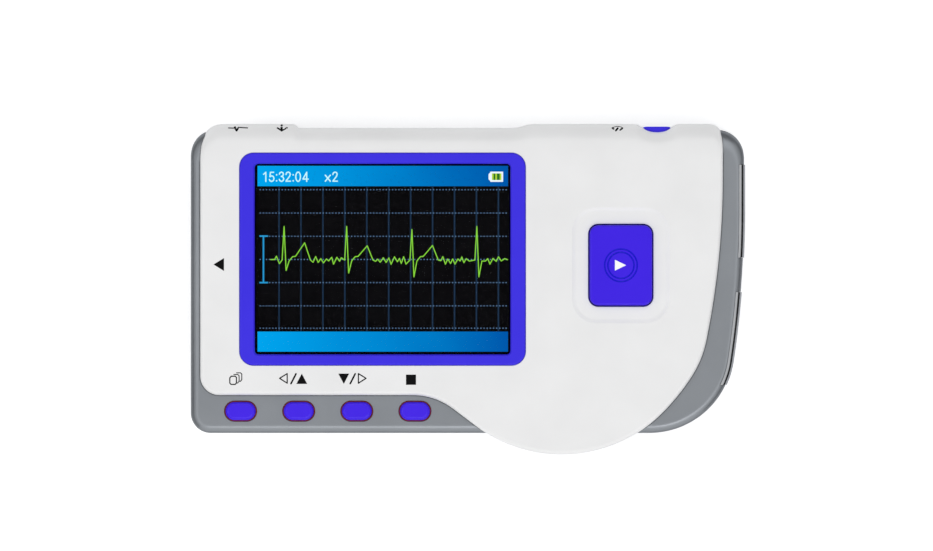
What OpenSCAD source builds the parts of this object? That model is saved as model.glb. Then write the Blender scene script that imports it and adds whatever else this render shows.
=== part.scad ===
// Hand-held single-lead ECG monitor, lying on its back, screen up.
// Millimetres. X runs along the body, Y towards its top edge, Z out of the screen.
// The origin is under the middle of the back face.

/* [Body] */
// Room between the left side and the blue frame
left_margin = 11.15; // [10.4:0.05:13]
// Room between the blue frame and the dish of the measure button
field_gap = 10.45; // [9.5:0.05:14]
// Room between that dish and the right side
right_margin = 16.95; // [15.5:0.05:20]
// Room between the blue frame and the top of the grey body
top_margin = 5.45; // [5.2:0.05:7]
// Room between the blue frame and the grey strip with the keys
low_margin = 6.75; // [5.5:0.05:9]
// Thickness of the rear shell, where the case parts
split_z = 8; // [7:0.1:8.4]
// Wall of the grey shells
wall_t = 1.8; // [1.5:0.1:2.1]
// Floor of the rear shell
floor_t = 2; // [1.6:0.1:2.2]
// Front wall of the grey frame
frame_t = 2; // [1.6:0.1:2.2]
// Rounding of the grey frame's front edge
frame_edge_r = 2; // [1:0.1:2.4]
// Radius of the shoulder along the front frame's top edge
frame_shoulder_r = 4; // [3:0.1:5]
// Rounding of the rear shell's back edge
back_edge_r = 3.5; // [2.5:0.1:4]
// Radius of the long bow of the right-hand side
side_r = 230; // [200:5:300]
// Straight part of the right-hand side, from the top
side_from_top = 18.2; // [16:0.1:22]
// Corner radius, top right
corner_tr = 6; // [5:0.1:7]
// Corner radius, top left
corner_tl = 5.5; // [4.5:0.1:6.5]
// Corner radius, bottom left
corner_bl = 4.5; // [3.5:0.1:5.5]
// Corner radius, bottom right
corner_br = 19; // [16:0.5:21]

/* [Face cover] */
// Plate of the white cover
face_t = 2; // [1.8:0.1:2.2]
// Height of the cover above the grey frame
face_proud = 1.5; // [1.2:0.1:1.7]
// Wall of the cover's skirts
skirt_t = 1.9; // [1.6:0.1:2.1]
// Rounding of the cover's front edge
face_edge_r = 1; // [0.6:0.1:1.4]
// Radius of the shoulder along the top edge
shoulder_r = 6; // [5:0.25:6.5]
// Grey left showing beside the cover on the left
face_left = 2.25; // [1.8:0.05:3]
// Grey left showing beside the cover on the right
face_right = 4.9; // [4:0.1:5.5]
// Height of the grey strip that carries the keys
strip_h = 8.6; // [8.2:0.1:9.4]
// Step from the bumps down to the top of the grey body
body_step = 1.25; // [1:0.05:1.5]
// Height of the bumps on the top edge
bump_h = 0.9; // [0.5:0.05:1.2]
// Depth of the scoop round the power button
scoop_h = 1.6; // [1.2:0.05:1.8]
// Half width of that scoop
scoop_w = 5.35; // [4.8:0.05:6]
// Reach of the right-hand bump to the left of the power button
swell_l = 27.7; // [24:0.1:30]
// Length of the ramp at its end
swell_run = 5.2; // [4:0.1:7]
// Length of the bump over the sockets
socket_bump_l = 20.7; // [18:0.1:24]
// Length of the ramp at its end
socket_bump_run = 1.9; // [1.5:0.1:4]
// Lobe reaching below the grey body
lobe_drop = 4.85; // [4:0.05:5.5]
// Radius of the lobe
lobe_r = 32.2; // [31:0.1:33.5]
// Radius of the flatter flank above the lobe
flank_r = 50; // [45:1:55]
// Radius of the tighter hip above the flank
hip_r = 24; // [21:0.5:27]
// Radius of the cover's right-hand side
face_side_r = 185; // [170:1:200]
// Slope of the sweep from the strip into the lobe
sweep_a = 53; // [51:0.5:56]
// Radius of the hollow at the start of that sweep
sweep_r = 15; // [12:0.5:18]

/* [Screen] */
// Width of the picture
view_w = 56.7; // [55.5:0.1:57.2]
// Height of the picture
view_h = 42; // [41:0.1:42.4]
// Clear opening of the blue frame beyond the picture, each side
bezel_gap = 0.5; // [0.3:0.05:0.7]
// Width of the blue frame's face along its short sides
bezel_side = 3.45; // [2.8:0.05:3.6]
// Width of the blue frame's face along its long sides
bezel_long = 2.5; // [2.2:0.05:2.8]
// Outer corner radius of the blue frame
bezel_r = 3.2; // [2.5:0.1:4]
// Height of the blue frame over the cover
bezel_proud = 0.3; // [0.1:0.05:0.6]
// Thickness of the window
lens_t = 1; // [0.8:0.05:1.1]
// Window tucked under the blue frame, each side
lens_lap = 0.8; // [0.5:0.05:1]
// Thickness of the display glass
glass_t = 1.6; // [1.2:0.1:1.8]
// Display glass beyond the picture, each side
glass_border = 4.3; // [3:0.1:4.6]
// Thickness of the seal between window and glass
gasket_t = 0.6; // [0.4:0.05:0.8]

/* [Keys] */
// First key from the left side
key_from_left = 11.35; // [10.8:0.05:12]
// Middle of the last key beyond the start of the cover's sweep
key_past = 0.5; // [-1:0.05:1]
// Middle of the keys above the bottom of the grey body
key_rise = 5; // [4.8:0.05:5.2]
// Width of a key
key_w = 6.8; // [6:0.1:7.4]
// Height of a key
key_h = 4.1; // [3.7:0.1:4.3]
// Height of a key above the grey frame
key_proud = 1; // [0.7:0.05:1.3]
// Travel of a key
key_travel = 0.4; // [0.2:0.05:0.45]
// Width of the silicone ring round a key
key_ring = 0.22; // [0.15:0.01:0.3]

/* [Measure button] */
// Width of the button
measure_w = 14.1; // [13:0.1:15]
// Height of the button
measure_h = 18.1; // [17:0.1:19]
// Corner radius of the button
measure_r = 2; // [1.5:0.1:3]
// Middle of the button below the middle of the screen
measure_drop = 1.4; // [0:0.05:3]
// Height of the button above the cover
measure_proud = 0.8; // [0.65:0.05:1.2]
// Travel of the button
measure_travel = 0.6; // [0.3:0.05:0.7]
// Gap all round the button
measure_gap = 0.3; // [0.2:0.05:0.4]
// Radius of the outer engraved ring
ring_r = 3.8; // [3.5:0.05:4.2]
// Width of the dished field round the button
dish_border = 4; // [3.4:0.1:4.4]
// Depth of that dish
dish_h = 0.35; // [0.2:0.05:0.5]

/* [Power button] */
// Middle of the power button from the right side
power_from_right = 19.7; // [19:0.05:20.5]
// Width of the power button
power_w = 6.4; // [5.8:0.05:6.8]
// Height of the power button
power_h = 3.4; // [3:0.05:3.8]
// Height of the power button above the scoop
power_proud = 0.95; // [0.7:0.05:1.2]
// Travel of the power button
power_travel = 0.4; // [0.2:0.05:0.5]
// Gap round the power button
power_gap = 0.15; // [0.1:0.01:0.25]

/* [Electrodes] */
// Length of each electrode
electrode_l = 21; // [19:0.1:22]
// Height of the left electrode
electrode_h = 8; // [7:0.1:8.4]
// Lower edge of the electrodes above the line where the case parts
electrode_low = 1.2; // [1:0.05:1.6]
// Right-hand electrodes curl over the front edge as far as this from the side
electrode_wrap = 0.9; // [0.5:0.05:1.1]
// Thickness of the metal
electrode_t = 0.9; // [0.7:0.05:1]
// Right-hand electrodes stand out by this much
electrode_proud = 0.25; // [0.1:0.05:0.4]
// Middle of the upper right electrode from the top
index_from_top = 18.6; // [17.5:0.1:20]
// Middle of the lower right electrode from the top
middle_from_top = 47.4; // [46.5:0.1:48.5]
// Middle of the left electrode from the top
left_from_top = 30.6; // [29:0.1:32]
// Radius of an electrode's rivet
rivet_r = 0.7; // [0.5:0.05:0.8]

/* [Batteries] */
// Radius of an AAA cell
cell_r = 5.15; // [5:0.05:5.2]
// Length of an AAA cell with its nub
cell_l = 44.5; // [43.5:0.1:45]
// Room for the springs beyond the cells
spring_l = 4.5; // [4:0.1:5]
// Distance between the two cells
cell_pitch = 11; // [10.8:0.05:11.4]
// Roof of the battery bay
roof_t = 0.85; // [0.7:0.05:1.5]
// Wall of the battery bay
bay_t = 1.2; // [1:0.1:1.3]
// Bay's left wall from the left side
bay_from_left = 11.25; // [11:0.05:12]
// Bay's lower wall from the bottom of the body
bay_from_bottom = 4.15; // [4.1:0.05:4.3]
// Rim of the floor that holds the door's rails
rail_w = 1.5; // [1.2:0.05:1.8]
// Thickness of the door's rails
rail_t = 0.8; // [0.6:0.05:0.9]

/* [Inside] */
// Thickness of the circuit board
board_t = 1.2; // [1:0.1:1.3]
// Gap between board and walls
board_gap = 0.6; // [0.5:0.05:0.8]
// Height of the tray under the display glass
tray_h = 1.8; // [1.6:0.05:2]
// Thickness of the key mat
mat_t = 0.6; // [0.5:0.05:0.7]
// Radius of a key's stem
stem_r = 1; // [0.8:0.05:1.1]
// Radius of a screw's shank
screw_r = 1; // [0.8:0.05:1.05]
// Radius of a screw's head
head_r = 1.9; // [1.7:0.05:2]
// Radius of the screw posts
post_r = 2.5; // [2.4:0.05:2.7]
// Radius of the lead socket's bore
jack_r = 1.8; // [1.6:0.05:1.85]
// Depth of the lead socket's bore behind the cover
jack_l = 9; // [7:0.1:10]

/* [Hidden] */
$fn = 48;
eps = 0.01;
touch = 0.05;       // between fixed pieces with curved faces
slip = 0.15;        // between sliding pieces
fit = 0.12;         // round the cover in its recess
far = 200;          // longer than anything here

// The case is as large as what it holds: the screen and the fields round it
bezel_w = view_w + 2 * (bezel_gap + bezel_side);
bezel_h = view_h + 2 * (bezel_gap + bezel_long);
dish_w = measure_w + 2 * dish_border;
body_l = left_margin + bezel_w + field_gap + dish_w + right_margin;
body_w = body_step + top_margin + bezel_h + low_margin + strip_h + lobe_drop;

// Heights: the door, the cells, the board and the display lie on each other
cell_z = floor_t + slip + rail_t + touch + cell_r;
board_z = cell_z + cell_r + slip + roof_t;
board_top = board_z + board_t;
glass_z = board_top + tray_h + glass_t;  // front of the display glass
seat_z = glass_z + gasket_t;             // the cover lies on the frame here
body_t = seat_z + face_t;                // front of the cover
frame_z = body_t - face_proud;           // front of the grey frame

// Edges of the grey body and the white cover
g_l = -(body_l + electrode_proud) / 2;
g_r = g_l + body_l;
lobe_y = -body_w / 2;
bump_y = body_w / 2;
g_top = bump_y - body_step;
g_bot = lobe_y + lobe_drop;
w_l = g_l + face_left;
w_r = g_r - face_right;
w_bot = g_bot + strip_h;

// Corner arcs of the grey body
side_y = g_top - side_from_top;
side_c = [g_r - side_r, side_y];
br_y = g_bot + corner_br;
br_x = side_c[0] + sqrt(pow(side_r - corner_br, 2) - pow(br_y - side_y, 2));
side_a = atan2(br_y - side_y, br_x - side_c[0]);

// The cover's right-hand side: side, hip, flank and lobe run into each other
lobe_a = -45;
flank_a = -33;
hip_a = -11.5;
function dir(a) = [cos(a), sin(a)];
face_side_c = [w_r - face_side_r, lobe_y + lobe_r - (face_side_r - hip_r) * sin(hip_a)
               - (hip_r - flank_r) * sin(flank_a) - (flank_r - lobe_r) * sin(lobe_a)];
hip_c = face_side_c + (face_side_r - hip_r) * dir(hip_a);
flank_c = hip_c + (hip_r - flank_r) * dir(flank_a);
lobe_c = flank_c + (flank_r - lobe_r) * dir(lobe_a);

// The sweep: a hollow, then a straight on to the lobe
sweep_y = w_bot - sweep_r;
sweep_l = ((sweep_r + lobe_r) * sin(sweep_a) - (lobe_c[1] - sweep_y)) / cos(sweep_a);
sweep_c = [lobe_c[0] - (sweep_r + lobe_r) * cos(sweep_a) - sweep_l * sin(sweep_a), sweep_y];

// Places of the controls
screen_c = [g_l + left_margin + bezel_w / 2, g_top - top_margin - bezel_h / 2];
measure_c = [g_r - right_margin - dish_w / 2, screen_c[1] - measure_drop];
power_x = g_r - power_from_right;
first_key_x = g_l + key_from_left;
key_x = [for (i = [0:3]) first_key_x + i * (sweep_c[0] + key_past - first_key_x) / 3];
key_y = g_bot + key_rise;
scoop_y = bump_y - scoop_h;
power_rise = 0.2;
power_z = board_top + power_rise;
skirt_reach = 5.2;
skirt_y = g_top - skirt_reach;  // the top skirt stands above this line

// Screw posts: two down the left side, one at each end of the right side
post_in = 6.15;
post_in_tr = 10;
post_in_br = 16;
post_down_tl = 17.5;
post_down_tr = 8.7;
post_up = 12.6;
post_c = [[g_l + post_in, g_top - post_down_tl], [g_r - post_in_tr, g_top - post_down_tr],
          [g_r - post_in_br, g_bot + post_up], [g_l + post_in, g_bot + post_up]];

// Sockets behind the left bump, hung from the board
jack_in = 10.6;
jack_roof = 0.55;
jack_x = g_l + jack_in;
jack_z = board_z - jack_r - jack_roof;
data_in = 20.5;
data_h = 2.9;
data_w = 7.5;
data_x = g_l + data_in;

index_y = g_top - index_from_top;
middle_y = g_top - middle_from_top;
left_y = g_top - left_from_top;
electrode_z = split_z + electrode_low;
rivet_rise = 0.9;
rivet_z = board_top + rivet_rise;
rivet_past = 2.4;    // beyond the wall, to the contact

// Battery bay
bay_x = g_l + bay_from_left;
bay_l = cell_l + spring_l;
bay_y = g_bot + bay_from_bottom;
bay_w = cell_pitch + 2 * (cell_r + slip);
cell_y = [bay_y + slip + cell_r, bay_y + slip + cell_r + cell_pitch];
door_top = bay_y + bay_w;

WHITE = [0.93, 0.93, 0.94];
GREY = [0.52, 0.54, 0.56];
BLUE = [0.26, 0.19, 0.88];
CHROME = [0.82, 0.83, 0.85];
RED = [0.4, 0.12, 0.12];
BLACK = [0.1, 0.1, 0.11];
GREEN = [0.1, 0.35, 0.2];
BRASS = [0.8, 0.68, 0.4];

// An outline is a list of arcs joined by straights. Each arc is centre, radius, first and
// last angle, steps, and whether its last point is kept; it is dropped where the next arc
// starts on it. An arc that turns clockwise is hollow, and grows when the outline is inset.
function arc(c, r, a0, a1, n, last = true) = [c, r, a0, a1, n, last];
function arc_points(a, inset) =
    let (r = a[1] - (a[3] > a[2] ? inset : -inset))
    [for (i = [0:a[4] - (a[5] ? 0 : 1)]) a[0] + r * dir(a[2] + (a[3] - a[2]) * i / a[4])];
function outline(arcs, inset = 0) = [for (a = arcs) each arc_points(a, inset)];

// Grey body
function grey_arcs() = [
    arc([br_x, br_y], corner_br, -90, side_a, 8, false),
    arc(side_c, side_r, side_a, 0, 6),
    arc([g_r - corner_tr, g_top - corner_tr], corner_tr, 0, 90, 6),
    arc([g_l + corner_tl, g_top - corner_tl], corner_tl, 90, 180, 6),
    arc([g_l + corner_bl, g_bot + corner_bl], corner_bl, 180, 270, 6)];

// Rear shell: the grey body with the lobe let into its lower edge
lobe_step = 0.3;
cove_r = 6;
cove_a = asin((lobe_c[1] - g_bot + cove_r) / (lobe_r - lobe_step + cove_r));
cove_x = (lobe_r - lobe_step + cove_r) * cos(cove_a);
function back_arcs() = concat(grey_arcs(), [
    arc([lobe_c[0] - cove_x, g_bot - cove_r], cove_r, 90, cove_a, 3, false),
    arc(lobe_c, lobe_r - lobe_step, 180 + cove_a, 360 - cove_a, 10, false),
    arc([lobe_c[0] + cove_x, g_bot - cove_r], cove_r, 180 - cove_a, 90, 3)]);

// A ramp between two levels of the top edge: two arcs that meet on the slope. share is
// the upper arc's part of both radii, and side is 1 where the ramp falls to the left.
function ramp(x_top, x_low, y_top, drop, share, side, last = true) =
    let (run = abs(x_top - x_low), a = 2 * atan(drop / run), r = run / sin(a),
         upper = [[x_top, y_top - r * share], r * share],
         lower = [[x_low, y_top - drop + r * (1 - share)], r * (1 - share)])
    side > 0
        ? [arc(upper[0], upper[1], 90, 90 + a, 3, false), arc(lower[0], lower[1], 270 + a, 270, 3, last)]
        : [arc(lower[0], lower[1], 270, 270 - a, 3, false), arc(upper[0], upper[1], 90 - a, 90, 3)];

// White cover. relief fades the bumps and the scoop: 1 is full, near 0 is a straight edge.
cover_tr = 2.8;
cover_tl = 4.8;
cover_bl = 4.3;
scoop_share = 0.31;
function cover_arcs(relief = 1) =
    let (bump = bump_h * relief, top = bump_y - bump_h + bump, scoop = scoop_h * relief)
    concat([
        arc(lobe_c, lobe_r, 180 + sweep_a, 360 + lobe_a, 14, false),
        arc(flank_c, flank_r, lobe_a, flank_a, 3, false),
        arc(hip_c, hip_r, flank_a, hip_a, 4, false),
        arc(face_side_c, face_side_r, hip_a, 0, 5),
        arc([w_r - cover_tr, top - cover_tr], cover_tr, 0, 90, 4)],
        ramp(power_x + scoop_w, power_x, top, scoop, scoop_share, 1, false),
        ramp(power_x - scoop_w, power_x, top, scoop, scoop_share, -1),
        ramp(power_x - swell_l, power_x - swell_l - swell_run, top, bump, 0.5, 1),
        ramp(w_l + socket_bump_l, w_l + socket_bump_l + socket_bump_run, top, bump, 0.5, -1),
        [arc([w_l + cover_tl, top - cover_tl], cover_tl, 90, 180, 6),
         arc([w_l + cover_bl, w_bot + cover_bl], cover_bl, 180, 270, 5),
         arc(sweep_c, sweep_r, 90, sweep_a, 5)]);

// Rounded rectangle about c
function pad_arcs(c, w, h, r, n = 5) =
    let (x = w / 2 - r, y = h / 2 - r)
    [for (q = [[1, -1, -90], [1, 1, 0], [-1, 1, 90], [-1, -1, 180]])
        arc(c + [q[0] * x, q[1] * y], r, q[2], q[2] + 90, n)];

// Solid through rings of equally many points, closed by a fan about hub at each end
module loft(rings, hub) {
    n = len(rings[0]);
    m = len(rings);
    points = concat([for (r = rings) each r],
        [[hub[0], hub[1], rings[0][0][2]], [hub[0], hub[1], rings[m - 1][0][2]]]);
    sides = [for (j = [0:m - 2], i = [0:n - 1]) let (a = j * n + i, b = j * n + (i + 1) % n)
        each [[a, a + n, b + n], [a, b + n, b]]];
    caps = [for (i = [0:n - 1]) let (k = (i + 1) % n)
        each [[m * n, i, k], [m * n + 1, (m - 1) * n + k, (m - 1) * n + i]]];
    polyhedron(points, concat(sides, caps));
}

function lifted(points, z) = [for (p = points) [p[0], p[1], z]];

// Block with a rounded top edge (r_top) and bottom edge (r_low)
module soft_block(arcs, z0, z1, r_low, r_top, hub, steps = 4) {
    low = r_low > 0 ? [for (i = [0:steps]) let (a = 90 * i / steps)
        lifted(outline(arcs, r_low * (1 - sin(a))), z0 + r_low * (1 - cos(a)))]
        : [lifted(outline(arcs), z0)];
    top = r_top > 0 ? [for (i = [0:steps]) let (a = 90 * i / steps)
        lifted(outline(arcs, r_top * (1 - cos(a))), z1 - r_top * (1 - sin(a)))]
        : [lifted(outline(arcs), z1)];
    loft(concat(low, top), hub);
}

// Upright prism of an outline
module prism(arcs, z0, z1, inset = 0) {
    translate([0, 0, z0]) linear_extrude(z1 - z0) offset(delta = -inset) polygon(outline(arcs));
}

// Block between two corners
module block(lo, hi) {
    translate(lo) cube(hi - lo);
}

// Cylinder between two heights
module post(c, r, z0, z1) {
    translate([c[0], c[1], z0]) cylinder(r = r, h = z1 - z0);
}

module at_posts() {
    for (c = post_c) translate([c[0], c[1], 0]) children();
}

// ---------- casings ----------

// One level of a casing: its upper edge is drawn back by sink to form the shoulder
crown = 8;           // the shoulder lies within this of the top
function level(points, z, sink) =
    [for (p = points) [p[0], p[1] - (p[1] > g_top - crown ? sink : 0), z]];
function cover_ring(z, inset, sink, relief) = level(outline(cover_arcs(relief), inset), z, sink);
flat = 0.02;
hub_in = 54;         // from here every point of the cover's outline is in sight
hub_up = 28.5;
cover_hub = [g_l + hub_in, g_bot + hub_up];

module cover_outside() {
    loft(concat([cover_ring(split_z, 0, 0, 1)],
        [for (a = [0, 18, 34, 48, 58, 66, 73, 80, 90])
            let (z = body_t - shoulder_r * (1 - sin(a)), up = max(0, z - body_t + face_edge_r))
            cover_ring(z, face_edge_r - sqrt(pow(face_edge_r, 2) - pow(up, 2)),
                shoulder_r * (1 - cos(a)), max(flat, cos(a)))]), cover_hub);
}

module cover_inside() {
    r = shoulder_r - skirt_t;
    loft(concat([cover_ring(split_z - 1, skirt_t, 0, flat)],
        [for (a = [0, 30, 60, 90])
            cover_ring(seat_z - r * (1 - sin(a)), skirt_t, r * (1 - cos(a)), flat)]), cover_hub);
}

lens_w = view_w + 2 * (bezel_gap + lens_lap);
lens_h = view_h + 2 * (bezel_gap + lens_lap);
lens_r = 1;
lens_top = seat_z + lens_t;
dish_r = 5.5;
dish_slope = 0.9;
screw_short = 0.4;   // screw holes stop this far below the cover's plate
socket_gap = 0.35;
jack_gap = 0.6;

module face_cover() {
    color(WHITE) {
        difference() {
            cover_outside();
            cover_inside();
            // between the top skirt and the lobe only the plate is left
            block([-far, g_bot - touch, 0], [far, skirt_y, seat_z]);
            // blue frame and window
            prism(pad_arcs(screen_c, bezel_w, bezel_h, bezel_r), lens_top, body_t + 1, -touch);
            prism(pad_arcs(screen_c, lens_w, lens_h, lens_r), 0, body_t, -touch);
            // dished field and opening of the measure button
            dish = pad_arcs(measure_c, dish_w, measure_h + 2 * dish_border, dish_r);
            loft([lifted(outline(dish, dish_slope), body_t - dish_h), lifted(outline(dish), body_t),
                lifted(outline(dish), body_t + 1)], measure_c);
            prism(pad_arcs(measure_c, measure_w, measure_h, measure_r), 0, far, -measure_gap);
            // power button, lead socket and data socket
            power_bar(g_top - crown, far, power_gap);
            translate([jack_x, g_top - crown, jack_z]) rotate([-90, 0, 0])
                cylinder(r = jack_r + jack_gap, h = far);
            block([data_x - data_w / 2 - socket_gap, g_top - crown, board_z - data_h - 2 * slip],
                [data_x + data_w / 2 + socket_gap, far, board_z + slip + touch]);
        }
        difference() {
            at_posts() post([0, 0], post_r, board_top, seat_z + eps);
            at_posts() post([0, 0], screw_r + touch, 0, seat_z - screw_short);
        }
    }
}

// Ground plan of the top skirt with some room round it, from its outer face inwards
module skirt_field(depth) {
    intersection() {
        difference() {
            offset(delta = fit) {
                polygon(outline(cover_arcs()));
                polygon(outline(cover_arcs(flat)));
            }
            if (depth > 0) offset(delta = -depth - fit) polygon(outline(cover_arcs(flat)));
        }
        translate([-far, skirt_y - fit]) square([2 * far, far]);
    }
}

ledge_w = 4.5;
ledge_in = 2;        // frame's ledge inside its side walls
key_clear = 0.08;
key_open = key_ring + key_clear;

function key_arcs(i) = pad_arcs([key_x[i], key_y], key_w, key_h, key_h / 2 - eps, 6);

// Right-hand wall of the grey body at a height
function side_x(y) = y > side_y ? g_r : side_c[0] + sqrt(pow(side_r, 2) - pow(y - side_y, 2));

// The grey body from z0 up, moved out by a little, with its round front edge and shoulder
module grey_block(out, z0) {
    r = frame_edge_r + out;
    shoulder = frame_shoulder_r + out;
    loft(concat([lifted(outline(grey_arcs(), -out), z0)],
        [for (a = [0, 15, 30, 42, 52, 61, 70, 80, 90])
            let (down = shoulder * (1 - sin(a)), up = max(0, r - down))
            level(outline(grey_arcs(), r - sqrt(pow(r, 2) - pow(up, 2)) - out),
                frame_z + out - down, shoulder * (1 - cos(a)))]), [0, 0]);
}

plate_r = 1.6;

// Plate on the side of the grey body, from out beyond its surface to deep below that. On
// the right it ends where it has curled over the front edge, on the left below the edge.
module side_plate(y, right, out, deep, room = 0) {
    h = right ? far : electrode_h;
    intersection() {
        difference() {
            grey_block(out, split_z - 1);
            grey_block(out - deep, split_z - 2);
            if (right) prism(grey_arcs(), 0, far, electrode_wrap + room);
        }
        translate([right ? 0 : -far, y, electrode_z + h / 2]) rotate([90, 0, 90])
            linear_extrude(far) offset(delta = room)
                polygon(outline(pad_arcs([0, 0], electrode_l, h, plate_r)));
    }
}

module rivet(y, right, gap = 0) {
    wall_x = right ? side_x(y) : g_l;
    turn = right ? -1 : 1;
    translate([wall_x + turn * electrode_t / 2, y, rivet_z]) rotate([0, turn * 90, 0])
        cylinder(r = rivet_r + gap, h = wall_t + rivet_past - electrode_t / 2);
}

module front_frame() {
    color(GREY) difference() {
        grey_block(0, split_z);
        prism(grey_arcs(), 0, frame_z - frame_t, wall_t);
        // opening and recess behind the face cover
        translate([0, 0, split_z]) linear_extrude(far) intersection() {
            offset(delta = -ledge_w) polygon(outline(cover_arcs(flat)));
            offset(delta = -wall_t - ledge_in) polygon(outline(grey_arcs()));
        }
        prism(cover_arcs(), seat_z, far, -fit);
        // room for the cover's top skirt and posts
        translate([0, 0, split_z - 1]) linear_extrude(far) skirt_field(0);
        at_posts() post([0, 0], post_r + touch, 0, far);
        for (i = [0:3]) prism(key_arcs(i), 0, far, -key_open);
        for (y = [index_y, middle_y])
            side_plate(y, true, 1, 1 + electrode_t - electrode_proud + touch, touch);
        side_plate(left_y, false, 1, 1 + electrode_t + touch, touch);
        rivet(index_y, true, touch);
        rivet(middle_y, true, touch);
        rivet(left_y, false, touch);
    }
}

lip_h = 0.8;
lip_t = 0.8;
lip_gap = 0.1;
lip_root = 1.5;
boss_t = 0.7;
head_z = 1.2;
head_t = 1.6;
buzzer_r = 6;
buzzer_h = 4.5;
buzzer_c = [measure_c[0] - 2 * buzzer_r, measure_c[1] + measure_h / 2];
slot_pitch = 1.9;
slot_w = 0.9;
slot_l = 8;

module back_outside() {
    soft_block(back_arcs(), 0, split_z, back_edge_r, 0, [lobe_c[0], 0], 5);
}

module back_cover() {
    color(GREY) difference() {
        union() {
            difference() {
                back_outside();
                prism(back_arcs(), floor_t, split_z + 1, wall_t);
            }
            // locating lip, left out where the frame crosses the lobe
            difference() {
                union() {
                    prism(back_arcs(), split_z - lip_root, split_z, wall_t - lip_gap);
                    prism(back_arcs(), split_z - eps, split_z + lip_h, wall_t + lip_gap);
                }
                prism(back_arcs(), 0, far, wall_t + lip_t + lip_gap);
                translate([0, 0, split_z]) linear_extrude(far) skirt_field(skirt_t);
                block([lobe_c[0] - cove_x - cove_r / 2, -far, split_z],
                    [lobe_c[0] + cove_x + cove_r / 2, 0, far]);
            }
            block([bay_x - bay_t, bay_y - bay_t, floor_t - eps],
                [bay_x + bay_l + bay_t, door_top + bay_t, board_z]);
            at_posts() post([0, 0], post_r + boss_t, floor_t - eps, board_z);
        }
        // battery bay, its doorway and the runs of the door's rails
        block([bay_x, bay_y, floor_t], [bay_x + bay_l, door_top, cell_z + cell_r + slip]);
        block([bay_x + rail_w, -far, -1], [bay_x + bay_l - rail_w, door_top, floor_t + slip]);
        for (x = [bay_x, bay_x + bay_l - 2 * rail_w])
            block([x - slip, -far, floor_t],
                [x + 2 * rail_w + slip, door_top - rail_w, floor_t + rail_t + 2 * slip]);
        at_posts() post([0, 0], head_r + slip, -1, head_z + head_t);
        at_posts() post([0, 0], screw_r + touch, -1, far);
        // sound slots under the buzzer
        for (i = [-2:2]) let (y = buzzer_c[1] + slot_pitch * i)
            block([buzzer_c[0] - slot_l / 2, y - slot_w / 2, -1],
                [buzzer_c[0] + slot_l / 2, y + slot_w / 2, floor_t + 1]);
    }
}

groove_l = 16;
groove_w = 0.8;
groove_pitch = 1.7;
groove_h = 0.4;
groove_in = 2.9;

module battery_door() {
    x0 = bay_x + rail_w;
    x1 = bay_x + bay_l - rail_w;
    rail_top = floor_t + slip + rail_t;
    rail_end = door_top - rail_w - slip;
    color(GREY) difference() {
        intersection() {
            back_outside();
            union() {
                block([x0 + slip, -far, 0], [x1 - slip, door_top - slip, floor_t]);
                for (x = [x0 + slip, x1 - slip - rail_w])
                    block([x, -far, floor_t - eps], [x + rail_w, rail_end, rail_top]);
                for (x = [bay_x + slip, x1 - slip - eps])
                    block([x, -far, floor_t + slip], [x + rail_w + eps, rail_end, rail_top]);
            }
        }
        // finger grooves
        for (i = [0:4]) let (y = bay_y + groove_in + groove_pitch * i)
            block([(x0 + x1 - groove_l) / 2, y - groove_w / 2, -1],
                [(x0 + x1 + groove_l) / 2, y + groove_w / 2, groove_h]);
    }
}

// ---------- screen ----------

bezel_edge_r = 0.5;
bevel = 0.4;

module screen_bezel() {
    opening = pad_arcs(screen_c, view_w + 2 * bezel_gap, view_h + 2 * bezel_gap, 2 * bevel);
    top = body_t + bezel_proud;
    color(BLUE) difference() {
        soft_block(pad_arcs(screen_c, bezel_w, bezel_h, bezel_r), lens_top, top, 0, bezel_edge_r,
            screen_c, 3);
        loft([lifted(outline(opening), lens_top - 1), lifted(outline(opening), top - bevel),
            lifted(outline(opening, -bevel - touch), top + touch)], screen_c);
    }
}

module display_lens() {
    color([0.2, 0.22, 0.25, 0.5]) prism(pad_arcs(screen_c, lens_w, lens_h, lens_r), seat_z, lens_top);
}

module display_gasket() {
    color(BLACK) difference() {
        prism(pad_arcs(screen_c, lens_w, lens_h, lens_r), glass_z, seat_z);
        prism(pad_arcs(screen_c, view_w + bezel_gap, view_h + bezel_gap, glass_r), 0, far);
    }
}

glass_w = view_w + 2 * glass_border;
glass_h = view_h + 2 * glass_border;
glass_r = 0.5;
tray_wall = 0.6;
tray_floor = 0.8;
tray_below = 0.3;
flex_w = 16;

module lcd_panel() {
    color(BLACK) prism(pad_arcs(screen_c, glass_w, glass_h, glass_r), glass_z - glass_t, glass_z);
}

module backlight_tray() {
    glass = pad_arcs(screen_c, glass_w, glass_h, glass_r);
    color(WHITE) difference() {
        prism(glass, board_top, glass_z - tray_below, -touch - tray_wall);
        prism(glass, glass_z - glass_t, far, -touch);
        prism(pad_arcs(screen_c, view_w, view_h, 2), board_top + tray_floor, far);
        block([screen_c[0], screen_c[1] - flex_w / 2 - 1, glass_z - glass_t - tray_below],
            [far, screen_c[1] + flex_w / 2 + 1, far]);
    }
}

flex_l = 5;
flex_t = 0.2;
flex_steps = 8;
connector_w = 4;
connector_h = 1.2;

module lcd_flex() {
    x0 = screen_c[0] + glass_w / 2 + touch;
    z0 = glass_z - glass_t + flex_t;
    z1 = board_top + connector_h + touch;
    low = [for (i = [0:flex_steps]) let (t = i / flex_steps)
        [x0 + flex_l * t, z0 + (z1 - z0) * (1 - cos(180 * t)) / 2]];
    high = [for (i = [flex_steps:-1:0]) low[i] + [0, flex_t]];
    color([0.75, 0.5, 0.15]) translate([0, screen_c[1] + flex_w / 2, 0]) rotate([90, 0, 0])
        linear_extrude(flex_w) polygon(concat(low, high));
}

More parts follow.
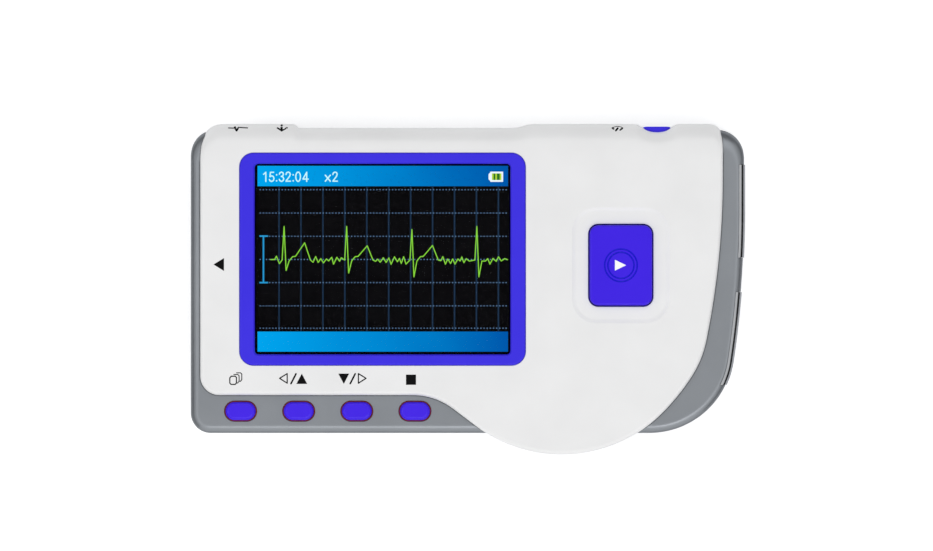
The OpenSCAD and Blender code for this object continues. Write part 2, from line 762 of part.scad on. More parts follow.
module flex_connector() {
    x0 = screen_c[0] + glass_w / 2 + flex_l / 2;
    color(BLACK) block([x0, screen_c[1] - flex_w / 2 - 1, board_top],
        [x0 + connector_w, screen_c[1] + flex_w / 2 + 1, board_top + connector_h]);
}

// ---------- keys ----------

mat_z = frame_z - frame_t - mat_t;
mat_past_x = 1.6;
mat_past_y = 0.65;
ring_below = 0.3;
stem_gap = 0.15;
stem_dip = 0.5;
key_rest = 0.1;
key_edge_r = 0.9;

module key_mat() {
    edge = [key_w / 2 + mat_past_x, key_h / 2 + mat_past_y];
    color(RED) difference() {
        union() {
            block([key_x[0] - edge[0], key_y - edge[1], mat_z],
                [key_x[3] + edge[0], key_y + edge[1], mat_z + mat_t]);
            for (i = [0:3]) prism(key_arcs(i), mat_z, frame_z - ring_below, -key_open + touch);
        }
        for (i = [0:3]) {
            prism(key_arcs(i), mat_z + mat_t, far, -key_clear);
            post([key_x[i], key_y], stem_r + stem_gap, 0, far);
        }
    }
}

module key(i) {
    foot = mat_z + mat_t + key_travel + key_rest;
    color(BLUE) {
        soft_block(key_arcs(i), foot, frame_z + key_proud, 0, key_edge_r, [key_x[i], key_y]);
        post([key_x[i], key_y], stem_r, mat_z - stem_dip, foot + eps);
    }
}

module key_menu() { key(0); }
module key_left() { key(1); }
module key_right() { key(2); }
module key_stop() { key(3); }

// Housing of a tactile switch, with the well that a stem dips into
module switch_body(c, w, h, top, r, deep) {
    difference() {
        block([c[0] - w / 2, c[1] - h / 2, board_top], [c[0] + w / 2, c[1] + h / 2, top]);
        post(c, r, top - deep, far);
    }
}

key_switch_w = 4.6;
key_well = 1.2;

module key_switches() {
    color(BLACK) for (x = key_x)
        switch_body([x, key_y], key_switch_w, key_switch_w, mat_z, stem_r + stem_gap, key_well);
}

flange_w = 0.8;
flange_t = 0.7;
flange_below = 0.3;
flange_z = seat_z - flange_below - flange_t;
measure_switch_z = flange_z - measure_travel - flange_below;
measure_switch_w = 6;
measure_well = 1.4;
measure_stem_r = 1.5;
measure_edge_r = 0.6;
ring_pitch = 0.8;
ring_cut_w = 0.25;
ring_cut_h = 0.2;
pad_t = 1.5;

module measure_button() {
    cap = pad_arcs(measure_c, measure_w, measure_h, measure_r);
    top = body_t + measure_proud;
    color(BLUE) {
        difference() {
            union() {
                soft_block(cap, flange_z, top, 0, measure_edge_r, measure_c);
                prism(cap, flange_z, flange_z + flange_t, -flange_w);
            }
            for (r = [ring_r, ring_r - ring_pitch]) difference() {
                post(measure_c, r, top - ring_cut_h, far);
                post(measure_c, r - ring_cut_w, 0, far + 1);
            }
        }
        post(measure_c, measure_stem_r, measure_switch_z - stem_dip, flange_z + eps);
    }
}

module measure_pad() {
    ring = pad_arcs(measure_c, measure_w + 2, measure_h + 2, measure_r + 1);
    color(RED) difference() {
        prism(ring, board_top, flange_z - measure_travel - stem_gap);
        prism(ring, 0, far, pad_t);
    }
}

module measure_switch() {
    color(BLACK) switch_body(measure_c, measure_switch_w, measure_switch_w, measure_switch_z,
        measure_stem_r + stem_gap, measure_well);
}

// The button's ears stay behind the cover's skirt, and its stem works a switch on the board
ear_y = bump_y - bump_h - skirt_t - 2 * slip;
ear_t = 1.1;
ear_w = 1.2;
ear_low = 3;
ear_h = 2.5;
power_root = 0.75;
power_edge_r = 0.5;
power_stem_r = 0.8;
power_stem_z = power_z + power_stem_r;
power_dip = 0.4;
power_switch_w = 6;
power_switch_l = 4;
power_switch_h = 2.2;
power_well = power_travel + power_dip + 2 * slip;
power_stem_l = 2.1;
power_switch_y = ear_y - power_root - power_stem_l;

// Bar with round ends that stands out of the top edge
function power_arcs(gap) = pad_arcs([0, 0], power_w + 2 * gap, power_h + 2 * gap, power_h / 2 + gap - eps);
module power_bar(y0, y1, gap, edge_r = 0) {
    translate([power_x, 0, power_z]) rotate([-90, 0, 0])
        soft_block(power_arcs(gap), y0, y1, 0, edge_r, [0, 0], 3);
}

module power_button() {
    root_y = ear_y - power_root;
    color(BLUE) {
        power_bar(root_y, scoop_y + power_proud, 0, power_edge_r);
        block([power_x - power_w / 2 - ear_w, ear_y - ear_t, power_z - ear_low],
            [power_x + power_w / 2 + ear_w, ear_y, power_z - ear_low + ear_h]);
        translate([power_x, power_switch_y - power_dip, power_stem_z]) rotate([-90, 0, 0])
            cylinder(r = power_stem_r, h = root_y - power_switch_y + power_dip + eps);
    }
}

module power_switch() {
    color(BLACK) difference() {
        block([power_x - power_switch_w / 2, power_switch_y - power_switch_l, board_top],
            [power_x + power_switch_w / 2, power_switch_y, board_top + power_switch_h]);
        translate([power_x, power_switch_y - power_well, power_stem_z]) rotate([-90, 0, 0])
            cylinder(r = power_stem_r + stem_gap, h = far);
    }
}

// ---------- electrodes ----------

module electrode(y, right) {
    color(CHROME) {
        side_plate(y, right, right ? electrode_proud : 0, electrode_t);
        rivet(y, right);
    }
}

module index_electrode() { electrode(index_y, true); }
module middle_electrode() { electrode(middle_y, true); }
module left_electrode() { electrode(left_y, false); }

clip_t = 0.3;
clip_w = 2.4;

// Clip on the board that bears on a rivet
module electrode_clip(y, right) {
    tip = (right ? side_x(y) : g_l) + (right ? -1 : 1) * (wall_t + rivet_past);
    translate([tip, y - clip_w / 2, board_top]) mirror([right ? 1 : 0, 0, 0]) {
        block([touch, 0, 0], [touch + clip_t, clip_w, rivet_rise + rivet_r]);
        block([touch, 0, 0], [touch + clip_w, clip_w, clip_t]);
    }
}

module electrode_contacts() {
    color(BRASS) {
        electrode_clip(index_y, true);
        electrode_clip(middle_y, true);
        electrode_clip(left_y, false);
    }
}

// ---------- board ----------

board_short = 1.7;   // the board stops this far before the power button's ears
screw_room = 0.5;

module main_board() {
    color(GREEN) difference() {
        translate([0, 0, board_z]) linear_extrude(board_t) intersection() {
            offset(delta = -wall_t - board_gap) polygon(outline(grey_arcs()));
            translate([-far, -far]) square([2 * far, far + ear_y - board_short]);
        }
        translate([0, 0, board_z - 1]) linear_extrude(far) skirt_field(skirt_t);
        at_posts() post([0, 0], screw_r + screw_room, 0, far);
    }
}

module chip(c, size) {
    block([c[0] - size[0] / 2, c[1] - size[1] / 2, board_top],
        [c[0] + size[0] / 2, c[1] + size[1] / 2, board_top + size[2]]);
}

// Chips below the pad of the measure button and along the top of the board: middle and size
processor_size = [10, 10, 1.2];
processor_c = measure_c - [processor_size[0], measure_h / 2 + processor_size[1] + 1];
memory_size = [8, 6, 1];
memory_c = measure_c + [memory_size[0] / 2, -measure_h / 2 - processor_size[1] + 1];
shield_size = [16, 8, 2.4];
shield_c = [measure_c[0] + 1 - shield_size[0] / 2, g_top - 1.5 * shield_size[1]];
shield_t = 0.3;
crystal_size = [5, 2, 1];
crystal_c = [measure_c[0] + crystal_size[0], shield_c[1] - shield_size[1] / 2];

module processor() { color(BLACK) chip(processor_c, processor_size); }
module memory_chip() { color(BLACK) chip(memory_c, memory_size); }
module crystal() { color(CHROME) chip(crystal_c, crystal_size); }

module amplifier_shield() {
    color(CHROME) difference() {
        chip(shield_c, shield_size);
        translate([0, 0, -shield_t]) chip(shield_c, shield_size - 2 * [shield_t, shield_t, 0]);
        // vents
        for (x = [-6:3:6], y = [-2, 0, 2]) post(shield_c + [x, y], shield_t, 0, far);
    }
}

module buzzer() {
    low = board_z - buzzer_h;
    color(BLACK) difference() {
        post(buzzer_c, buzzer_r, low, board_z);
        post(buzzer_c, 1, low - 1, low + buzzer_h / 3);
    }
}

// ---------- sockets ----------

socket_y = bump_y - bump_h - skirt_t - touch;
jack_wall = 1.2;
jack_end = 2;
nose_t = jack_gap - 0.15;
nose_y = bump_y - 2 * touch;
data_l = 6;
data_wall = 0.35;
tongue_w = 4.8;
tongue_t = 0.5;
tongue_z = 1.2;

module lead_socket() {
    half = jack_r + jack_wall;
    color(BLACK) difference() {
        union() {
            block([jack_x - half, socket_y - jack_l - jack_end, 2 * jack_z - board_z],
                [jack_x + half, socket_y, board_z]);
            // nose that fills the hole in the cover
            translate([jack_x, socket_y - eps, jack_z]) rotate([-90, 0, 0])
                cylinder(r = jack_r + nose_t, h = nose_y - socket_y + eps);
        }
        translate([jack_x, socket_y - jack_l, jack_z]) rotate([-90, 0, 0]) cylinder(r = jack_r, h = far);
    }
}

module data_socket() {
    z0 = board_z - data_h;
    color(CHROME) translate([data_x, 0, 0]) {
        difference() {
            block([-data_w / 2, socket_y - data_l, z0], [data_w / 2, socket_y, board_z]);
            block([data_wall - data_w / 2, socket_y - data_l + 1, z0 + data_wall],
                [data_w / 2 - data_wall, far, board_z - data_wall]);
        }
        block([-tongue_w / 2, socket_y - data_l + 1 - eps, z0 + tongue_z],
            [tongue_w / 2, socket_y - 1, z0 + tongue_z + tongue_t]);
    }
}

// ---------- batteries ----------

plate_t = 0.3;
plate_in = 0.5;
nub_r = 1.9;
nub_l = 1;
spring_r = 3.6;
spring_turns = 3;
wire_r = 0.3;

// Cell with its nub towards +X where flip is false
module cell(y, flip) {
    middle = bay_x + bay_l / 2;
    nub_x = bay_x + bay_l - plate_t - touch;
    translate([middle, y, cell_z]) mirror([flip ? 1 : 0, 0, 0]) rotate([0, 90, 0]) {
        translate([0, 0, nub_x - middle - cell_l]) cylinder(r = cell_r, h = cell_l - nub_l);
        translate([0, 0, nub_x - middle - nub_l - eps]) cylinder(r = nub_r, h = nub_l + eps);
    }
}

module battery_upper() { color([0.75, 0.45, 0.2]) cell(cell_y[1], false); }
module battery_lower() { color([0.75, 0.45, 0.2]) cell(cell_y[0], true); }

// Conical spring swept along its own wire
module spring(len, r0, r1, wire, turns) {
    steps = 10 * turns;
    sides = 6;
    rings = [for (i = [0:steps]) let (t = i / steps, a = 360 * turns * t, r = r0 + (r1 - r0) * t)
        [for (k = [0:sides - 1]) let (b = 360 * k / sides)
            [(r + wire * cos(b)) * cos(a), (r + wire * cos(b)) * sin(a),
             wire + (len - 2 * wire) * t + wire * sin(b)]]];
    n = sides;
    points = [for (r = rings) each r];
    walls = [for (j = [0:steps - 1], i = [0:n - 1]) let (a = j * n + i, b = j * n + (i + 1) % n)
        each [[a, b, b + n], [a, b + n, a + n]]];
    ends = [[for (i = [n - 1:-1:0]) i], [for (i = [0:n - 1]) steps * n + i]];
    polyhedron(points, concat(walls, ends));
}

module battery_springs() {
    room = bay_l - 2 * plate_t - cell_l - 3 * touch;
    color(CHROME) {
        translate([bay_x + plate_t + touch, cell_y[1], cell_z]) rotate([0, 90, 0])
            spring(room, spring_r, nub_r - wire_r, wire_r, spring_turns);
        translate([bay_x + bay_l - plate_t - touch, cell_y[0], cell_z]) rotate([0, -90, 0])
            spring(room, spring_r, nub_r - wire_r, wire_r, spring_turns);
    }
}

module battery_plates() {
    z0 = floor_t + rail_t + 2 * slip;
    color(CHROME) for (x = [bay_x, bay_x + bay_l - plate_t])
        block([x, bay_y + plate_in, z0], [x + plate_t, door_top - plate_in, cell_z + cell_r]);
}

// ---------- fasteners ----------

cross_l = 2.2;
cross_w = 0.5;
cross_h = 0.7;

module case_screws() {
    color(CHROME) at_posts() difference() {
        union() {
            post([0, 0], head_r, head_z, head_z + head_t);
            post([0, 0], screw_r, head_z, seat_z - 1);
        }
        for (a = [0, 90]) rotate(a)
            block([-cross_l / 2, -cross_w / 2, 0], [cross_l / 2, cross_w / 2, head_z + cross_h]);
    }
}

face_cover();
front_frame();
back_cover();
battery_door();
screen_bezel();
display_lens();
display_gasket();
lcd_panel();
backlight_tray();
lcd_flex();
flex_connector();
main_board();
processor();
memory_chip();
amplifier_shield();
crystal();
buzzer();
measure_button();
measure_pad();
measure_switch();
key_mat();
key_menu();
key_left();
key_right();
key_stop();
key_switches();
power_button();
power_switch();
index_electrode();
middle_electrode();
left_electrode();
electrode_contacts();
battery_upper();
battery_lower();
battery_springs();
battery_plates();
lead_socket();
data_socket();
case_screws();
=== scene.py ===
import math
import random

import bmesh
import bpy
from mathutils import Matrix, Vector
from mathutils.bvhtree import BVHTree


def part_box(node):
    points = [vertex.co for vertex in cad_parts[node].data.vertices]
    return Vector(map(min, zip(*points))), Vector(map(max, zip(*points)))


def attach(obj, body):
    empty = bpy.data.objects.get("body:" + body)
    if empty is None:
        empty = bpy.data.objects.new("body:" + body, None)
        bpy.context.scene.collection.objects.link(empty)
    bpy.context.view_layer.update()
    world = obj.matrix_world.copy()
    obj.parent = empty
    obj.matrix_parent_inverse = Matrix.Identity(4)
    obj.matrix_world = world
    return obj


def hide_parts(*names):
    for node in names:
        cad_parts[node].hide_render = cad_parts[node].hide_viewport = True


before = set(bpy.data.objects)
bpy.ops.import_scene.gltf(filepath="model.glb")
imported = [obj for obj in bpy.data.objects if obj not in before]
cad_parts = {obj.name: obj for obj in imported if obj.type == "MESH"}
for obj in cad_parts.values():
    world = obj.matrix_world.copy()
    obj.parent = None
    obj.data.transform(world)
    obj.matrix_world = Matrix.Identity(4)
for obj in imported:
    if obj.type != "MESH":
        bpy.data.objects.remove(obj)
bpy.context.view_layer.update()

# ---------------------------- camera
# A long lens hangs straight over the monitor, which lies on its back, so the face is
# square to the picture. The picture is 210.6 mm wide at the height of the front cover.
face_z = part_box("face_cover")[1].z
picture_w = 0.2106
camera = bpy.data.objects.new("camera", bpy.data.cameras.new("camera"))
camera.data.lens = 200
camera.data.sensor_width = 36
camera.location = (-0.00034, 0.00305, face_z + picture_w * camera.data.lens / camera.data.sensor_width)
bpy.context.scene.collection.objects.link(camera)
bpy.context.scene.camera = camera

# ---------------------------- studio
# A bright white room: the sky is a little darker near the horizon, which draws the round
# edges, and the soft boxes stand mostly below the picture, so the lower edges are bright.


def dial(node, *settings):
    """Sets inputs of a shader node, each given as its name or number and its value."""
    for name, value in settings:
        node.inputs[name].default_value = value


def wire(tree, *links):
    """Links pairs of node sockets, each from an output to an input."""
    for start, end in links:
        tree.links.new(start, end)


bpy.context.scene.view_settings.view_transform = "Standard"
bpy.context.scene.view_settings.look = "None"
studio = bpy.data.worlds.new("room")
bpy.context.scene.world = studio
studio.use_nodes = True
air = studio.node_tree
sky = air.nodes["Background"]
sky_place = air.nodes.new("ShaderNodeTexCoord")
sky_parts = air.nodes.new("ShaderNodeSeparateXYZ")
sky_ramp = air.nodes.new("ShaderNodeValToRGB")
horizon, zenith = sky_ramp.color_ramp.elements
horizon.color, horizon.position = (0.30, 0.31, 0.33, 1), 0.05
zenith.color, zenith.position = (1, 1, 1, 1), 0.75
seen = air.nodes.new("ShaderNodeLightPath")
sky_mix = air.nodes.new("ShaderNodeMix")
sky_mix.data_type = "RGBA"
dial(sky_mix, (7, (1, 1, 1, 1)))
wire(air, (sky_place.outputs["Generated"], sky_parts.inputs[0]),
     (sky_parts.outputs["Z"], sky_ramp.inputs[0]), (seen.outputs["Is Camera Ray"], sky_mix.inputs[0]),
     (sky_ramp.outputs["Color"], sky_mix.inputs[6]), (sky_mix.outputs[2], sky.inputs["Color"]))
dial(sky, ("Strength", 0.83))

for lamp_at, width, depth, watts in (((0.25, -0.7, 0.85), 1.0, 0.6, 3.4),
                                     ((-0.7, -0.1, 0.6), 0.3, 0.8, 1.1),
                                     ((0.1, 0.8, 0.7), 0.9, 0.3, 0.9)):
    lamp = bpy.data.objects.new("soft_box", bpy.data.lights.new("soft_box", "AREA"))
    lamp.data.shape = "RECTANGLE"
    lamp.data.size, lamp.data.size_y = width, depth
    lamp.data.energy = watts
    lamp.location = lamp_at
    lamp.rotation_euler = (-Vector(lamp_at)).to_track_quat("-Z", "Y").to_euler()
    bpy.context.scene.collection.objects.link(lamp)

# Cards stand round the monitor on all four sides: black, grey or white, each one above the
# last. Only shiny surfaces see them, so they draw the dark and bright lines in the chrome
# and the paint. Each has its lower and upper edge, in metres, and its glow.
beside = (("black", 0.0, 0.034, 0.0), ("grey", 0.036, 0.09, 0.6), ("white", 0.092, 0.17, 1.25))
behind = (("black", 0.0, 0.072, 0.0), ("white", 0.074, 0.17, 1.4))
before = (("white", 0.0, 0.1, 1.0),)
card_w = 0.4
for number, (turn, away_by, cards) in enumerate(((0, 0.118, beside), (90, 0.1, behind),
                                                 (180, 0.118, beside), (270, 0.1, before))):
    for colour, low, high, glow_by in cards:
        upright = (Matrix.Rotation(math.radians(turn), 4, "Z")
                   @ Matrix.Translation((away_by, 0, (low + high) / 2))
                   @ Matrix.Rotation(-math.pi / 2, 4, "Y")
                   @ Matrix.Diagonal((high - low, card_w, 1, 1)))
        card_mesh = bmesh.new()
        bmesh.ops.create_grid(card_mesh, x_segments=1, y_segments=1, size=0.5, matrix=upright)
        card = bpy.data.objects.new(f"{colour}_card_{number}", bpy.data.meshes.new("card"))
        card_mesh.to_mesh(card.data)
        bpy.context.scene.collection.objects.link(card)
        for ray in ("visible_camera", "visible_diffuse", "visible_shadow", "visible_transmission"):
            setattr(card, ray, False)
        card_paint = bpy.data.materials.new(colour + " card")
        card_paint.use_nodes = True
        dial(card_paint.node_tree.nodes["Principled BSDF"], ("Base Color", (0.01, 0.01, 0.01, 1)),
             ("Roughness", 1.0), ("Emission Color", (1, 1, 1, 1)), ("Emission Strength", glow_by))
        card_paint.cycles.emission_sampling = "NONE"
        card.data.materials.append(card_paint)

# ---------------------------- floor
# A pale matt table that the monitor lies on. It isn't part of the object. Shiny surfaces
# mirror it darker than it is, as they would the rest of a real room.
floor_z = -0.0002
floor_mesh = bmesh.new()
bmesh.ops.create_grid(floor_mesh, x_segments=1, y_segments=1, size=3,
                      matrix=Matrix.Translation((0, 0, floor_z)))
floor = bpy.data.objects.new("floor", bpy.data.meshes.new("floor"))
floor_mesh.to_mesh(floor.data)
bpy.context.scene.collection.objects.link(floor)
paper = bpy.data.materials.new("matt paper")
paper.use_nodes = True
paper_shader = paper.node_tree.nodes["Principled BSDF"]
dial(paper_shader, ("Roughness", 0.9), ("Specular IOR Level", 0.1), ("Emission Strength", 0.4))
mirrored = paper.node_tree.nodes.new("ShaderNodeLightPath")
for socket, plain, dull in (("Base Color", (0.93, 0.93, 0.935, 1), (0.4, 0.41, 0.42, 1)),
                            ("Emission Color", (1, 1, 1, 1), (0.25, 0.25, 0.26, 1))):
    swap = paper.node_tree.nodes.new("ShaderNodeMix")
    swap.data_type = "RGBA"
    dial(swap, (6, plain), (7, dull))
    wire(paper.node_tree, (mirrored.outputs["Is Glossy Ray"], swap.inputs[0]),
         (swap.outputs[2], paper_shader.inputs[socket]))
paper.cycles.emission_sampling = "NONE"
floor.data.materials.append(paper)

# ---------------------------- front cover
# The white front cover is one injection-moulded ABS shell. It carries the screen and the
# measure button, curls over the top edge, and its round lobe hangs below the grey body.
# Four long screws pull it on to the rear shell. Its sizes are in millimetres.


def box_mm(node):
    """Lowest and highest corner of a CAD node, in millimetres."""
    return tuple(corner * 1000 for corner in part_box(node))


def direction(degrees):
    return Vector((math.cos(math.radians(degrees)), math.sin(math.radians(degrees))))


shell_lo, shell_hi = box_mm("front_frame")
cover_lo, cover_hi = box_mm("face_cover")
split_z, frame_z, body_t = shell_lo.z, shell_hi.z, cover_hi.z
seat_z = frame_z - 0.5
skirt_y = shell_hi.y - 5.2
cover_wall, cover_shoulder, cover_rim = 1.9, 6, 1
split_groove = 0.15
far = 120

lobe_y, bump_y = -37.45, 37.45
bump_h, scoop_h = 0.9, 1.6
w_l, w_r, w_bot = cover_lo.x, cover_hi.x, shell_lo.y + 8.6
power_x = shell_hi.x - 19.7
lobe_r, flank_r, hip_r, side_r, sweep_r = 32.2, 50, 24, 185, 15
flank_a, hip_a, side_a, sweep_a = -45, -33, -11.5, 53
right_corner_r, left_corner_r, low_corner_r = 2.8, 4.8, 4.3
scoop_run, scoop_share = 5.35, 0.31
dip_x = (w_l + 20.7, w_l + 22.6, power_x - 32.9, power_x - 27.7)
side_c = Vector((w_r - side_r, lobe_y + lobe_r - (side_r - hip_r) * direction(side_a).y
                 - (hip_r - flank_r) * direction(hip_a).y - (flank_r - lobe_r) * direction(flank_a).y))
hip_c = side_c + (side_r - hip_r) * direction(side_a)
flank_c = hip_c + (hip_r - flank_r) * direction(hip_a)
lobe_c = flank_c + (flank_r - lobe_r) * direction(flank_a)
sweep = direction(sweep_a)
sweep_y = w_bot - sweep_r
sweep_l = ((sweep_r + lobe_r) * sweep.y - (lobe_c.y - sweep_y)) / sweep.x
sweep_x = lobe_c.x - (sweep_r + lobe_r) * sweep.x - sweep_l * sweep.y


def outline(arcs, inset=0.0):
    """Corner points of arcs joined by straights; a clockwise arc is hollow and grows when inset."""
    points = []
    for cx, cy, r, start, end, steps in arcs:
        reach = r - inset if end > start else r + inset
        for i in range(steps + 1):
            point = Vector((cx, cy)) + reach * direction(start + (end - start) * i / steps)
            if not points or (point - points[-1]).length > 1e-5:
                points.append(point)
    if (points[0] - points[-1]).length < 1e-5:
        points.pop()
    return points


def ramp(x_top, x_low, y_top, drop, share, falls_left):
    """Two arcs down from one level of the top edge to the next."""
    run = abs(x_top - x_low)
    a = 2 * math.degrees(math.atan(drop / run))
    r = run / math.sin(math.radians(a))
    high = (x_top, y_top - r * share, r * share)
    low = (x_low, y_top - drop + r * (1 - share), r * (1 - share))
    if falls_left:
        return [(*high, 90, 90 + a, 7), (*low, 270 + a, 270, 7)]
    return [(*low, 270, 270 - a, 7), (*high, 90 - a, 90, 7)]


def cover_arcs(relief=1.0):
    """Outline of the cover; relief fades the bumps and the scoop of its top edge."""
    bump, scoop = bump_h * relief, scoop_h * relief
    top = bump_y - bump_h + bump
    return [(*lobe_c, lobe_r, 180 + sweep_a, 360 + flank_a, 40), (*flank_c, flank_r, flank_a, hip_a, 8),
            (*hip_c, hip_r, hip_a, side_a, 10), (*side_c, side_r, side_a, 0, 12),
            (w_r - right_corner_r, top - right_corner_r, right_corner_r, 0, 90, 10),
            *ramp(power_x + scoop_run, power_x, top, scoop, scoop_share, True),
            *ramp(power_x - scoop_run, power_x, top, scoop, scoop_share, False),
            *ramp(dip_x[3], dip_x[2], top, bump, 0.5, True),
            *ramp(dip_x[0], dip_x[1], top, bump, 0.5, False),
            (w_l + left_corner_r, top - left_corner_r, left_corner_r, 90, 180, 16),
            (w_l + low_corner_r, w_bot + low_corner_r, low_corner_r, 180, 270, 14),
            (sweep_x, sweep_y, sweep_r, 90, sweep_a, 10)]


def make(name, mesh):
    """Object from a finished bmesh, still in millimetres."""
    bmesh.ops.recalc_face_normals(mesh, faces=mesh.faces)
    made = bpy.data.objects.new(name, bpy.data.meshes.new(name))
    mesh.to_mesh(made.data)
    mesh.free()
    bpy.context.scene.collection.objects.link(made)
    return made


def loft(name, *rings):
    """Closed solid through rings of (points, height)."""
    mesh = bmesh.new()
    loops = []
    for points, height in rings:
        corners = [mesh.verts.new((x, y, height)) for x, y in points]
        loops.append([mesh.edges.new(pair) for pair in zip(corners, corners[1:] + corners[:1])])
    for low, high in zip(loops, loops[1:]):
        bmesh.ops.bridge_loops(mesh, edges=low + high)
    for end in (loops[0], loops[-1]):
        bmesh.ops.contextual_create(mesh, geom=end)
    return make(name, mesh)


def block(name, low, high):
    """Square block between two corners."""
    mesh = bmesh.new()
    low, high = Vector(low), Vector(high)
    bmesh.ops.create_cube(mesh, size=1, matrix=Matrix.Translation((low + high) / 2)
                          @ Matrix.Diagonal((*(high - low), 1)))
    return make(name, mesh)


def prism(name, points, start, end):
    """Upright block of one outline."""
    return loft(name, (points, start), (points, end))


def fit(piece, how, *tools):
    """Joins the tools to the piece, or cuts them from it, and throws them away."""
    for tool in tools:
        step = piece.modifiers.new("fit", "BOOLEAN")
        step.operation, step.solver, step.object = how, "EXACT", tool
        evaluated = piece.evaluated_get(bpy.context.evaluated_depsgraph_get())
        shaped = bpy.data.meshes.new_from_object(evaluated)
        piece.modifiers.clear()
        piece.data = shaped
        bpy.data.objects.remove(tool)
    return piece


def well(name, arcs, bottom, top, room=0.0, flare=0.0):
    """Cutter for an opening that widens a little at the surface, so that its rim is broken."""
    if not flare:
        return prism(name, outline(arcs, -room), bottom, top + 5)
    return loft(name, (outline(arcs, -room), bottom), (outline(arcs, -room), top - flare),
                (outline(arcs, -room - 0.3 * flare), top - 0.3 * flare),
                (outline(arcs, -room - flare), top + 0.01), (outline(arcs, -room - flare), top + 5))


def rounded(middle, width, height, r, steps=8):
    """Arcs of a rounded rectangle."""
    x, y = width / 2 - r, height / 2 - r
    return [(middle[0] + sx * x, middle[1] + sy * y, r, a, a + 90, steps)
            for sx, sy, a in ((1, -1, -90), (1, 1, 0), (-1, 1, 90), (-1, -1, 180))]


def laid(piece, middle):
    """Turns an upright piece to lie along Y, with its middle given as x and z."""
    piece.data.transform(Matrix.Translation((middle[0], 0, middle[1]))
                         @ Matrix.Rotation(-math.pi / 2, 4, "X"))
    return piece


def tube(name, middle, r, start, end, axis="Z", steps=64):
    """Round rod along Z, or along Y with its middle given as x and z."""
    rod = prism(name, outline([(0, 0, r, 0, 360, steps)]), start, end)
    if axis == "Y":
        return laid(rod, middle)
    rod.data.transform(Matrix.Translation((middle[0], middle[1], 0)))
    return rod


def level(points, height, sink):
    """One level of a casing, with its upper edge drawn back by sink to form the shoulder."""
    return [Vector((x, y - (sink if y > shell_hi.y - 8 else 0))) for x, y in points], height


def cover_ring(height, inset, sink, relief):
    """One level of the cover, kept 0.02 mm inside the CAD one."""
    return level(outline(cover_arcs(relief), inset + 0.02), height, sink)


cover_steps = [(split_z, split_groove, 0, 1), (split_z + split_groove, 0, 0, 1)]
for a in (0, 12, 24, 34, 42, 50, 56.5, 61, 65, 69, 73, 77, 81, 85, 90):
    turn = direction(a)
    height = body_t - cover_shoulder * (1 - turn.y)
    edge = max(0, height - body_t + cover_rim)
    cover_steps.append((height, cover_rim - math.sqrt(cover_rim ** 2 - edge * edge),
                        cover_shoulder * (1 - turn.x), max(0.02, turn.x)))
inner_steps = [(split_z - 1, cover_wall, 0, 0.02)]
for a in (0, 15, 30, 45, 60, 75, 90):
    turn = direction(a)
    inner_steps.append((seat_z - (cover_shoulder - cover_wall) * (1 - turn.y), cover_wall,
                        (cover_shoulder - cover_wall) * (1 - turn.x), 0.02))

bezel_lo, bezel_hi = box_mm("screen_bezel")
lens_lo, lens_hi = box_mm("display_lens")
button_lo, button_hi = box_mm("measure_button")
power_lo, power_hi = box_mm("power_button")
jack_lo, jack_hi = box_mm("lead_socket")
data_lo, data_hi = box_mm("data_socket")
screen_c = (bezel_lo + bezel_hi) / 2
measure_c = (button_lo + button_hi) / 2
jack_c = ((jack_lo.x + jack_hi.x) / 2, (jack_lo.z + jack_hi.z) / 2)
power_c = ((power_lo.x + power_hi.x) / 2, power_hi.z - 1.7)
button_arcs = rounded(measure_c, 14.1, 18.1, 2)
dish_arcs = rounded(measure_c, 22.1, 26.1, 5.5, 12)
power_arcs = rounded((0, 0), 6.4, 3.4, 1.69, 14)
dish_h, frame_r, jack_r, key_room = 0.35, 3.2, 2.4, 0.3
hole_y = shell_hi.y - 8

front_cover = loft("front_cover", *(cover_ring(*step) for step in cover_steps))
fit(front_cover, "DIFFERENCE", loft("inside", *(cover_ring(*step) for step in inner_steps)),
    block("under", (-far, shell_lo.y - 0.05, 0), (far, skirt_y, seat_z)),
    well("bezel_seat", rounded(screen_c, bezel_hi.x - bezel_lo.x, bezel_hi.y - bezel_lo.y, frame_r, 12),
         lens_hi.z, body_t, 0.05, 0.12),
    well("lens_seat", rounded(screen_c, lens_hi.x - lens_lo.x, lens_hi.y - lens_lo.y, 1), 0, body_t, 0.05),
    loft("dish", (outline(dish_arcs, 1.1), body_t - dish_h), (outline(dish_arcs, 0.7), body_t - 0.33),
         (outline(dish_arcs, 0.22), body_t - 0.11), (outline(dish_arcs), body_t - 0.01),
         (outline(dish_arcs, -0.15), body_t + 0.01), (outline(dish_arcs, -0.15), body_t + 2)),
    well("button_hole", button_arcs, 0, body_t - dish_h, key_room, 0.15),
    laid(prism("power_hole", outline(power_arcs, -0.15), hole_y, far), power_c),
    tube("jack_hole", jack_c, jack_r, hole_y, far, "Y"),
    block("data_hole", (data_lo.x - 0.35, hole_y, data_lo.z - 0.35),
          (data_hi.x + 0.35, far, data_hi.z + 0.35)))

# The moulding texture that every plastic piece shares: a fine spark-eroded grain and the
# broad, faint clouds of uneven gloss that a large moulding has.
moulded = bpy.data.node_groups.new("moulded surface", "ShaderNodeTree")
for label, side, kind in (("Vector", "INPUT", "Vector"), ("Grain Scale", "INPUT", "Float"),
                          ("Cloud Scale", "INPUT", "Float"), ("Grain", "OUTPUT", "Float"),
                          ("Cloud", "OUTPUT", "Float")):
    moulded.interface.new_socket(label, in_out=side, socket_type="NodeSocket" + kind)
group_in, group_out = moulded.nodes.new("NodeGroupInput"), moulded.nodes.new("NodeGroupOutput")
for label, detail in (("Grain", 2.0), ("Cloud", 4.0)):
    noise = moulded.nodes.new("ShaderNodeTexNoise")
    dial(noise, ("Detail", detail))
    wire(moulded, (group_in.outputs["Vector"], noise.inputs["Vector"]),
         (group_in.outputs[label + " Scale"], noise.inputs["Scale"]),
         (noise.outputs[0], group_out.inputs[label]))


